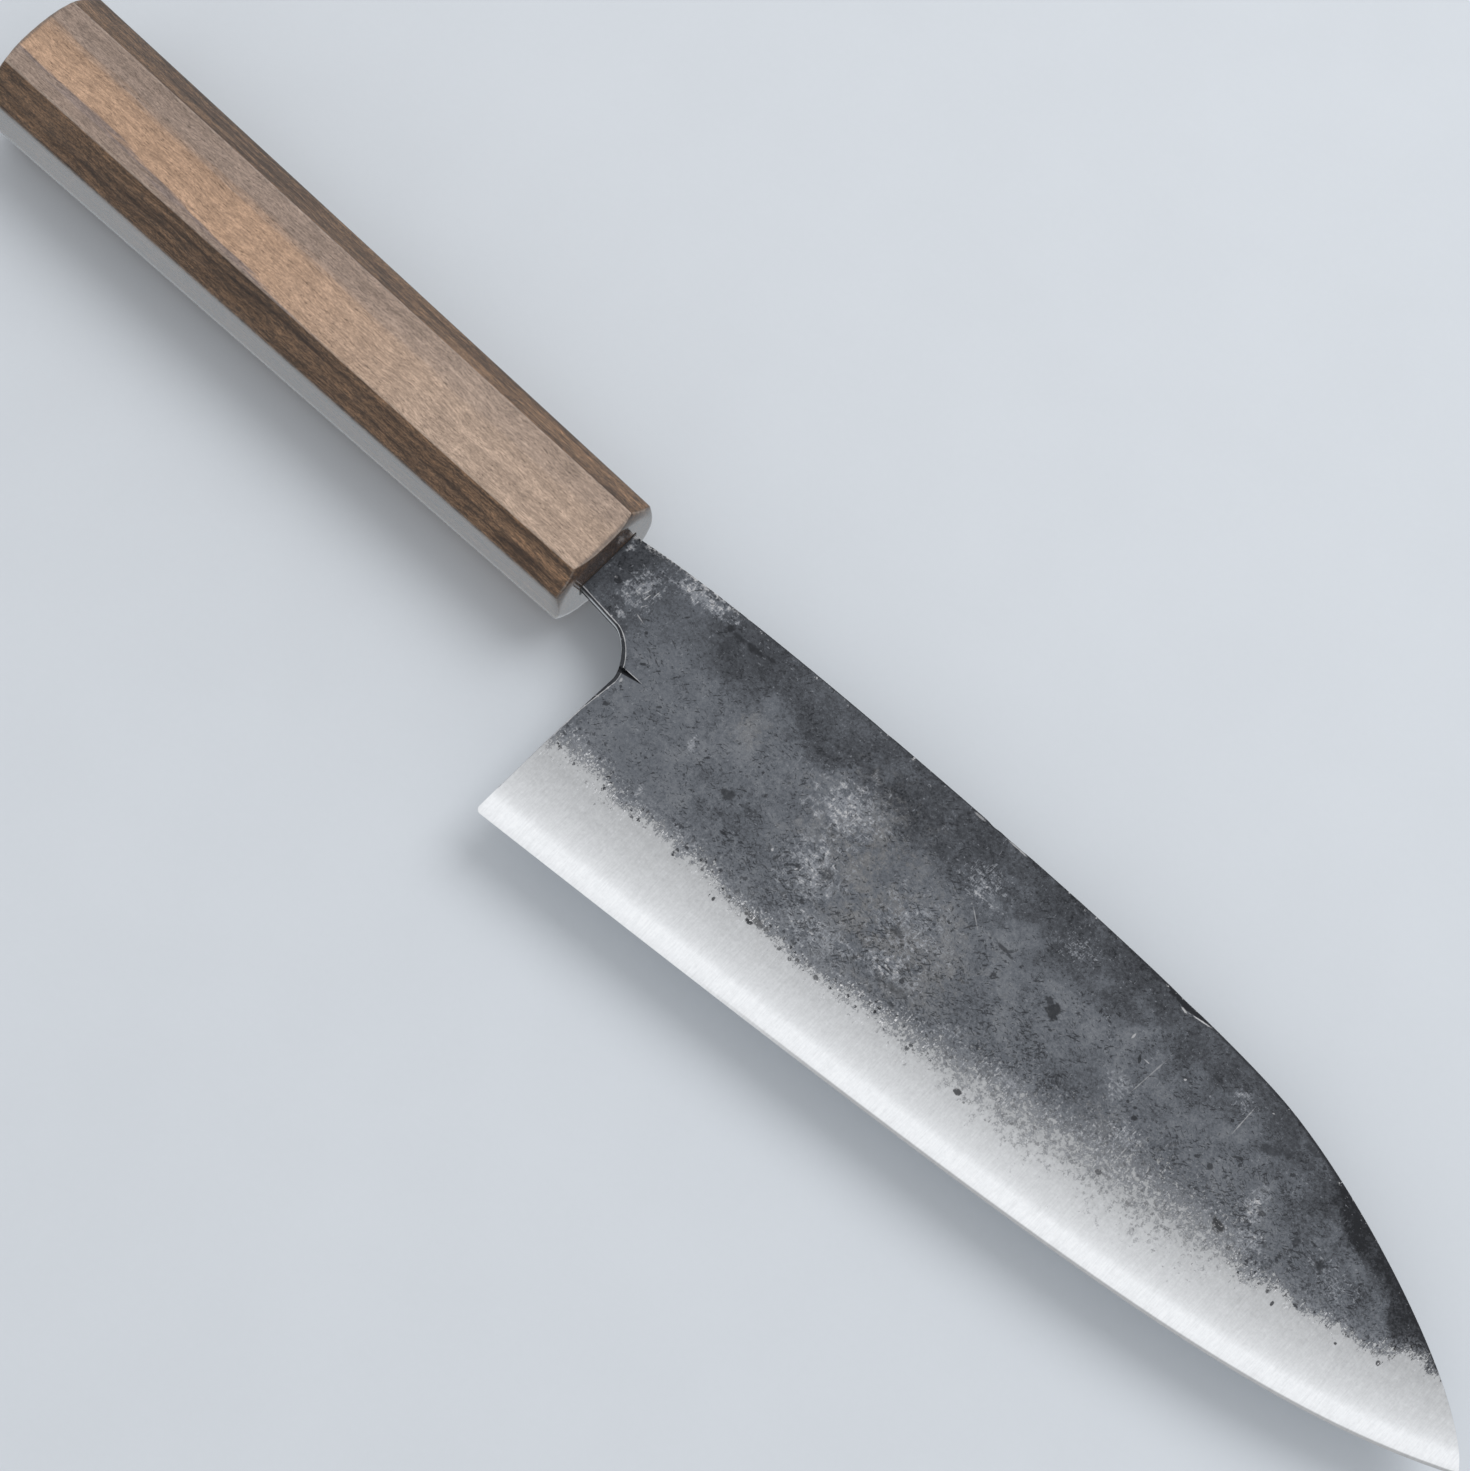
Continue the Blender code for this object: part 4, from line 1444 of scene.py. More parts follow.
    def foot(self, x: float) -> float:
        """The level that starts at the choil's top and stays between the bare core and the spine.

        Args:
            x: the place along the blade.

        Returns:
            Y there.
        """
        bare, spine = self.bare_line(self.heel_x), self.spine(self.heel_x)
        share = (self.choil_top - bare) / (spine - bare)
        level = mix(self.bare_line(x), self.spine(x), share)
        return mix(self.choil_top, level, float(smooth_step(x, self.heel_x + 2.0, self.heel_x + 60.0)))

    @cached_property
    def stations(self) -> list[float]:
        """Places of the columns along the edge, ahead of the choil's easing.

        Returns:
            Their x, closer together by the choil and at the tip.
        """
        places = [self.arris, 0.15, 0.26, 0.40, 0.58, 0.80, 1.1, 1.5]
        main = self.cladding_end - self.heel_x
        count = round((main - 2.0) / self.spacing)
        places += [mix(2.0, main, step / count) for step in range(count + 1)]
        left = self.blade_length - main
        places += [main + left * share for share in (0.15, 0.3, 0.45, 0.6, 0.72, 0.83, 0.92, 0.97, 1.0)]
        return [self.heel_x + place for place in places]

    @cached_property
    def lower_rim(self) -> list[Point]:
        """The lower rim of the neck and of the curve that turns it into the choil.

        Returns:
            Points from the mouth to the choil's top.
        """
        places = [0.0, 0.1, 0.2, 0.3, *np.arange(0.7, self.neck_length - 0.2, 0.4)]
        rims = [(x, mix(-self.neck_bottom, self.curve_top, x / self.neck_length)) for x in places]
        reach = self.curve_length * self.curve_hold_neck
        steering = [
            (self.neck_length, self.curve_top),
            (self.neck_length + reach, self.curve_top - reach * self.neck_droop / self.neck_length),
            (self.choil_x, self.choil_top + self.curve_drop * self.curve_hold_choil),
            (self.choil_x, self.choil_top),
        ]
        return rims + [tuple(point) for point in cubic_curve(steering, 40)]

    def neck_columns(self) -> list[Column]:
        """Columns across the tang, the neck and the choil's curve.

        Returns:
            The columns, from the tang's end to the choil.
        """
        rims = self.lower_rim
        columns = []
        for number, place in enumerate(rims):
            before, after = rims[max(number - 1, 0)], rims[min(number + 1, len(rims) - 1)]
            along = Vector((after[0] - before[0], after[1] - before[1]))
            inward = Vector((-along.y, along.x)).normalized()
            if number == 0:
                inward = Vector((0.0, 1.0))
            if number == len(rims) - 1:
                inward = Vector((1.0, 0.0))
            turned = math.sin(math.pi / 2 * max(place[0] - self.neck_length, 0.0) / self.curve_length)
            width = mix(self.neck_easing, self.choil_width(self.choil_top)[0], turned)
            depth = mix(self.neck_easing, self.choil_easing[1], turned)
            depth *= float(smooth_step(place[0], 0.0, 0.3))
            column = []
            for share in self.chamfer_shares:
                x, y = place[0] + inward.x * width * share, place[1] + inward.y * width * share
                column.append((x, y, self.chamfer(share, depth), width * share, width * (share - 1)))
            head = column[-1]
            for x, y, taken, rim, past in self.rise(head[0], head[1])[1:]:
                below = y - head[1]
                column.append((x, y, taken, min(rim, width + below), min(past, below)))
            columns.append(column)
        return self.tang_columns(columns[0]) + columns

    def tang_columns(self, mouth: Column) -> list[Column]:
        """Columns across the tang that carry the column at the mouth back to the tang's end.

        Args:
            mouth: the column at the mouth.

        Returns:
            The columns, from the tang's end to the mouth.
        """
        columns = []
        low, high = mouth[0][1], mouth[-1][1]
        for back in self.tang_columns_back:
            bottom = mix(-self.neck_bottom, -self.tang_end[1], back)
            top = mix(self.neck_top, self.tang_end[0], back)
            column = []
            for _, y, _, _, _ in mouth:
                level = mix(bottom, top, (y - low) / (high - low))
                rim = min(level - bottom, top - level)
                column.append((-self.tang_length * back, level, 0.0, rim, rim))
            columns.append(column)
        return columns

    def sheet(self, with_core: bool) -> Sheet:
        """Tang, neck and blade as one sheet of cells.

        Args:
            with_core: whether the strip of bare core along the edge belongs to it.

        Returns:
            The sheet.
        """
        sheet = Sheet()
        sheet.add_columns(self.neck_columns())
        lowest = 0 if with_core else len(self.bare_shares) - 1
        shares = self.chamfer_shares[:-1]
        eased = [self.low_column(self.heel_x + self.arris * share, 0.0, share) for share in shares]
        ahead = [self.low_column(start, start - self.heel_x - self.arris, None) for start in self.stations]
        sheet.add_columns([column[lowest:] for column in eased + ahead])
        sheet.add_columns([[column[-1]] + self.rise(column[-1][0], column[-1][1])[1:] for column in ahead])
        return sheet

    def measures(self, points: Column) -> dict[str, list[float]]:
        """What the finishes need to know at every point of a sheet.

        Args:
            points: the sheet's points.

        Returns:
            A list of values for each measure, by its name.
        """
        found: dict[str, list[float]] = {measure.value: [] for measure in Measure}
        for x, y, _, rim, past in points:
            known = {
                Measure.ABOVE_EDGE: y - (self.edge(x) if x > self.heel_x else -self.heel_drop),
                Measure.FROM_RIM: rim,
                Measure.PAST_ARRIS: past,
                Measure.NICK: self.nick_depth(x, y),
                Measure.ABOVE_LINE: y - follow(self.scale_line, x),
                Measure.FADE: follow(self.scale_fade, x),
                Measure.NOSE: y - follow(self.nose_line, x),
            }
            for measure, value in known.items():
                found[measure.value].append(value)
        return found

    def hammering(self, x: float, y: float, rim: float, side: Side) -> float:
        """How far the forged face lies under the true surface at a point.

        Args:
            x: the place along the blade.
            y: the place across it.
            rim: its distance from the rim.
            side: the face.

        Returns:
            The depth, 0 on the ground band, at the rims and on the tang.
        """
        above = y - follow(self.scale_line, x)
        share = float(smooth_step(above, 0.0, 4.0)) * float(smooth_step(rim, 0.2, 2.0))
        if share <= 0 or x <= 0.5:
            return 0.0
        place = Vector((x, y, 40.0 * side.value))
        broad = noise.noise(place / 11.0)
        flat = noise.noise(place / 4.0)
        scale = noise.noise(place / 1.4)
        return self.hammer_depth * share * (0.5 + 0.5 * broad + 0.22 * flat + 0.08 * scale)

    def solid(self, sheet: Sheet, upper: list[float], lower: list[float]) -> MeshPlan:
        """A closed solid over a sheet, between two heights for every point.

        Args:
            sheet: the sheet.
            upper: the upper height of each of its points.
            lower: the lower height of each.

        Returns:
            The solid's points, faces and measures.
        """
        plan = MeshPlan()
        tops = plan.add_ring([(place[0], place[1], high) for place, high in zip(sheet.points, upper)])
        bottoms = []
        for place, top, high, low in zip(sheet.points, tops, upper, lower):
            if high - low < SAME_HEIGHT:
                bottoms.append(top)
            else:
                bottoms.append(len(plan.points))
                plan.points.append((place[0], place[1], low))
        for cell in sheet.cells:
            plan.faces.append([tops[point] for point in cell])
            under = [bottoms[point] for point in reversed(cell)]
            if set(under) != set(plan.faces[-1]):
                plan.faces.append(under)
        for start, end in sheet.border():
            wall = list(dict.fromkeys((tops[end], tops[start], bottoms[start], bottoms[end])))
            if len(wall) > 2:
                plan.faces.append(wall)
        source = self.measures(sheet.points)
        order = tops + [number for number, (top, bottom) in enumerate(zip(tops, bottoms)) if top != bottom]
        plan.measures = {name: [values[number] for number in order] for name, values in source.items()}
        return plan

    def build_core(self, origin: Vector) -> bpy.types.Object:
        """The hard middle layer, bare along the edge and running back through neck and tang.

        Args:
            origin: where the mouth point lies in the frame.

        Returns:
            The new piece.
        """
        sheet = self.sheet(with_core=True)
        upper = [min(self.half(x, y), self.half_core) for x, y, *_ in sheet.points]
        plan = self.solid(sheet, upper, [-height for height in upper])
        return plan.build("blade_core", origin, SHARP_METAL)

    def build_cladding(self, side: Side, origin: Vector) -> bpy.types.Object:
        """One soft outer layer, which thins out to nothing where the bare core begins.

        Args:
            side: the face that it covers.
            origin: where the mouth point lies in the frame.

        Returns:
            The new piece.
        """
        sheet = self.sheet(with_core=False)
        outer = []
        for x, y, taken, rim, _ in sheet.points:
            nick = self.nick_depth(x, y) if side is Side.RIGHT else 0.0
            depth = max(taken, nick) + self.hammering(x, y, rim, side)
            outer.append(max(self.half(x, y) - depth, self.half_core))
        inner = [self.half_core] * len(outer)
        if side is Side.RIGHT:
            plan = self.solid(sheet, outer, inner)
        else:
            plan = self.solid(sheet, [-height for height in inner], [-height for height in outer])
        return plan.build(f"blade_cladding_{side.name.lower()}", origin, SHARP_METAL)


# ---------------------------------------------------------------------------------------------------
# Handle


@dataclass(frozen=True)
class Handle:
    """The octagonal handle, one piece of wood. Field names follow the CAD source."""

    length: float = 119.2
    mouth: Triple = (20.2, 17.1, 4.15)  # width, thickness and bevel
    butt: Triple = (23.6, 20.3, 4.9)
    easing_depth: float = 1.1  # by which the end faces stand back at an oval as large as easing_reach
    easing_start: float = 0.97  # size of the oval within which they are flat
    easing_reach: float = 1.18
    easing_power: float = 1.5
    arris_radius: float = 0.45
    rim_radius: float = 0.16
    slot: Triple = (-5.54, 6.44, 1.64)  # bottom, top and half thickness at the mouth
    slot_depth: float = 2.04
    bore_room: float = 0.52
    bore_end: Row = (-88.04, -3.64, 3.84, 1.74)  # x, bottom, top and half thickness
    facet_points: int = 6
    arris_points: int = 4
    sections: int = 60
    rim_rings: tuple[Point, ...] = ((1.0, 0.0), (0.3, 0.3), (0.0, 1.0))  # back and inset, in rim radii
    face_rings: Row = (0.03, 0.07, 0.12, 0.18, 0.26, 0.4, 0.6, 0.8, 1.0)  # from the rim inwards

    def size(self, share: float) -> Triple:
        """Half the width, half the thickness and the bevel, from share 0 at the butt to 1 at the mouth."""
        width, thickness, bevel = (mix(*ends, share) for ends in zip(self.butt, self.mouth))
        return width / 2, thickness / 2, bevel

    def section(self, share: float) -> list[Point]:
        """The outline of the handle's section with rounded arrises.

        Args:
            share: how far the section lies from the butt towards the mouth.

        Returns:
            Its points as y and z, counted from the spine side over the right face.
        """
        half_width, half_height, bevel = self.size(share)
        corners = []
        for side_y, side_z in ((1, 1), (-1, 1), (-1, -1), (1, -1)):
            flat = Vector((side_y * half_width, side_z * (half_height - bevel)))
            top = Vector((side_y * (half_width - bevel), side_z * half_height))
            corners.extend((flat, top) if side_y * side_z > 0 else (top, flat))
        points = []
        for number, corner in enumerate(corners):
            before, after = corners[number - 1], corners[(number + 1) % 8]
            cut = self.arris_radius * math.tan(math.pi / 8)
            start = corner + (before - corner).normalized() * cut
            end = corner + (after - corner).normalized() * cut
            for step in range(self.arris_points):
                ahead = step / (self.arris_points - 1)
                back = 1 - ahead
                points.append(start * back**2 + corner * 2 * ahead * back + end * ahead**2)
            facet_end = after + (corner - after).normalized() * cut
            stretches = self.facet_points + 1
            points.extend(end.lerp(facet_end, step / stretches) for step in range(1, stretches))
        return [(point.x, point.y) for point in points]

    def recess(self, y: float, z: float, share: float) -> float:
        """How far an end face stands back at a point, in an oval round the axis.

        Args:
            y: the point's place across the knife.
            z: its height.
            share: 0 at the butt, 1 at the mouth.

        Returns:
            The distance along the handle.
        """
        half_width, half_height, _ = self.size(share)
        size = math.hypot(y / half_width, z / half_height)
        part = max(size - self.easing_start, 0.0) / (self.easing_reach - self.easing_start)
        return self.easing_depth * part**self.easing_power

    def from_arris(self, x: float, y: float, z: float) -> float:
        """Distance of a point from the nearest arris, along the handle or round an end face.

        Args:
            x: the point's place along the handle.
            y: its place across it.
            z: its height.

        Returns:
            The distance, also through the wood for points of the bore.
        """
        share = min(max(x / self.length + 1.0, 0.0), 1.0)
        half_width, half_height, bevel = self.size(share)
        corners = ((half_width, half_height - bevel), (half_width - bevel, half_height))
        along = min(math.hypot(abs(y) - corner[0], abs(z) - corner[1]) for corner in corners)
        depth = max(half_width - abs(y), 0.0), max(half_height - abs(z), 0.0)
        inside = min(*depth, (half_width + half_height - bevel - abs(y) - abs(z)) / math.sqrt(2))
        ends = min(-x, x + self.length) - self.recess(y, z, round(share))
        if inside > 0.05 or ends < 2:
            return min(along, math.hypot(max(inside, 0.0), max(ends, 0.0)))
        return along

    def end_rings(self, share: float, inner: list[Point]) -> list[list[Triple]]:
        """Rings of one end, from the side's last ring over the rim and across the face to an inner outline.

        Args:
            share: 0 at the butt, 1 at the mouth.
            inner: the outline at which the face ends.

        Returns:
            Rings of points, from the outside inwards.
        """
        face = -self.length * (1 - share)
        inwards = -1 if share == 1 else 1
        outline = self.section(share)
        rings = []
        for back, inset in self.rim_rings:
            ring = []
            for y, z in outline:
                scale = 1 - inset * self.rim_radius / math.hypot(y, z)
                x = face + inwards * (self.recess(y * scale, z * scale, share) + back * self.rim_radius)
                ring.append((x, y * scale, z * scale))
            rings.append(ring)
        rim = [(y, z) for _, y, z in rings[-1]]
        for part in self.face_rings:
            ring = []
            for outer, inside in zip(rim, inner):
                y, z = mix(outer[0], inside[0], part), mix(outer[1], inside[1], part)
                ring.append((face + inwards * self.recess(y, z, share), y, z))
            rings.append(ring)
        return rings

    def box_outline(self, bottom: float, top: float, half: float) -> list[Point]:
        """A rectangle with as many points as a section has, each facing the section's own.

        Args:
            bottom: Y of its lower side.
            top: Y of its upper side.
            half: half of its thickness.

        Returns:
            Its points as y and z, its corners among them.
        """
        points = []
        for y, z in self.section(1.0):
            reach_y = (top if y > 0 else -bottom) / max(abs(y), NEARLY_ZERO)
            reach_z = half / max(abs(z), NEARLY_ZERO)
            reach = min(reach_y, reach_z)
            points.append((y * reach, z * reach))
        for corner in ((top, half), (bottom, half), (bottom, -half), (top, -half)):
            nearest = min(range(len(points)), key=lambda n: math.dist(points[n], corner))
            points[nearest] = corner
        return points

    def build(self, origin: Vector) -> bpy.types.Object:
        """The handle with its bore, as one closed mesh.

        Args:
            origin: where the mouth point lies in the frame.

        Returns:
            The new piece.
        """
        plan = MeshPlan()
        slot = self.box_outline(*self.slot)
        centre = [(y * 0.02, z * 0.02) for y, z in self.section(0.0)]
        rings = list(reversed(self.end_rings(0.0, centre)))
        for step in range(1, self.sections):
            share = step / self.sections
            rings.append([(-self.length * (1 - share), y, z) for y, z in self.section(share)])
        rings.extend(self.end_rings(1.0, slot))
        bottom, top, half = self.slot
        room = self.box_outline(bottom - self.bore_room, top + self.bore_room, half + self.bore_room)
        end_x, *end = self.bore_end
        far = self.box_outline(*end)
        rings.append([(-self.slot_depth, y, z) for y, z in slot])
        rings.append([(-self.slot_depth, y, z) for y, z in room])
        rings.append([(end_x, y, z) for y, z in far])
        numbered = [plan.add_ring(ring) for ring in rings]
        plan.measures[Measure.FROM_RIM.value] = [self.from_arris(*point) for point in plan.points]
        plan.skin(numbered)
        plan.faces += [numbered[0][::-1], numbered[-1]]
        return plan.build("handle_wood", origin, SHARP_WOOD)


# ---------------------------------------------------------------------------------------------------
# Stage


@dataclass(frozen=True)
class Stage:
    """Pale floor, soft light and the camera."""

    floor_size: float = 6.0
    floor_gap: float = 0.03  # millimetres between the floor and the handle's lowest facet
    floor: Colour = (0.662, 0.699, 0.744)
    mirrored_floor: Colour = (0.620, 0.665, 0.705)
    background: Colour = (0.90, 0.92, 0.94)
    world_level: float = 0.66
    world_tint: Colour = (0.985, 0.992, 1.0)
    lamp_direction: Triple = (0.10, 0.55, 0.83)
    lamp_distance: float = 1.2
    lamp_size: float = 0.86
    lamp_power: float = 6.2
    camera_place: Triple = (0.08285436, -0.1175185, 0.46102209)
    camera_turn: Triple = (17.94634, -3.44719, 42.86744)
    lens: float = 79.8373
    sensor: float = 36.0
    nearest: float = 0.01  # metres from the camera at which it begins to see

    def build_floor(self, effects: Effects) -> bpy.types.Object:
        """The floor under the knife, of faintly uneven painted board.

        Args:
            effects: the shared node groups.

        Returns:
            The floor.
        """
        half, low = self.floor_size / 2, -self.floor_gap * MM
        mesh = bpy.data.meshes.new("floor")
        corners = [(-half, -half, low), (half, -half, low), (half, half, low), (-half, half, low)]
        mesh.from_pydata(corners, [], [(0, 1, 2, 3)])
        floor = bpy.data.objects.new("floor", mesh)
        bpy.context.scene.collection.objects.link(floor)
        material, w, shader = new_material("pale board")
        mottle = w.use(effects.mottling, {"Position": w.place(), "Broad": 0.012, "Fine": 0.9})
        tint = w.shade(self.floor, mottle["Tone"].ramp(0.3, 0.7, 0.985, 1.015))
        w.fill(shader, {"Base Color": tint, "Roughness": 0.75, "Specular IOR Level": 0.2})
        # Lacquer and metal mirror the pale floor as it is away from the knife's own shadow
        mirrored = w.node("Emission", {"Color": self.mirrored_floor, "Strength": 1.0})
        glossy = w.wires(w.node("LightPath"))["Is Glossy Ray"]
        mixed = w.node("MixShader", {0: glossy, 1: shader.outputs[0], 2: mirrored.outputs[0]})
        w.fill(material.node_tree.nodes["Material Output"], {"Surface": mixed.outputs[0]})
        material.cycles.emission_sampling = "NONE"
        mesh.materials.append(material)
        return floor

    def build_world(self) -> None:
        """A pale room: one level of light for the object, and a pale background for the eye."""
        world = bpy.data.worlds.new("room")
        world.use_nodes = True
        bpy.context.scene.world = world
        w = Wiring(world.node_tree)
        room = world.node_tree.nodes["Background"]
        w.fill(room, {"Color": self.world_tint, "Strength": self.world_level})
        seen = w.node("Background", {"Color": self.background, "Strength": 1.0})
        path = w.wires(w.node("LightPath"))
        direct = path["Is Camera Ray"] | path["Is Glossy Ray"] | path["Is Transmission Ray"]
        mixed = w.node("MixShader", {0: direct, 1: room.outputs[0], 2: seen.outputs[0]})
        w.fill(world.node_tree.nodes["World Output"], {"Surface": mixed.outputs[0]})

    def build_lamp(self) -> None:
        """One large soft box above the spine's side, which lights but doesn't show in the steel."""
        lamp = bpy.data.lights.new("soft_box", "AREA")
        lamp.shape = "DISK"
        lamp.size = self.lamp_size
        lamp.energy = self.lamp_power
        direction = Vector(self.lamp_direction).normalized()
        box = bpy.data.objects.new("soft_box", lamp)
        box.location = direction * self.lamp_distance
        box.visible_glossy = False
        box.rotation_euler = direction.to_track_quat("Z", "Y").to_euler()
        bpy.context.scene.collection.objects.link(box)

    def build_camera(self) -> None:
        """The camera at the photograph's place and angle."""
        data = bpy.data.cameras.new("camera")
        data.lens = self.lens
        data.sensor_width = self.sensor
        data.sensor_fit = "HORIZONTAL"
        data.clip_start = self.nearest
        camera = bpy.data.objects.new("camera", data)
        camera.location = self.camera_place
        camera.rotation_euler = Euler([math.radians(angle) for angle in self.camera_turn], "XYZ")
        bpy.context.scene.collection.objects.link(camera)
        bpy.context.scene.camera = camera

    def build(self, effects: Effects) -> None:
        """Builds the stage and sets how colours are shown.

        Args:
            effects: the shared node groups.
        """
        self.build_floor(effects)
        self.build_world()
        self.build_lamp()
        self.build_camera()
        bpy.context.scene.view_settings.view_transform = "Standard"


# ---------------------------------------------------------------------------------------------------
# Marks on the forged faces: x, y, half the length, half the width, turn, softness and strength


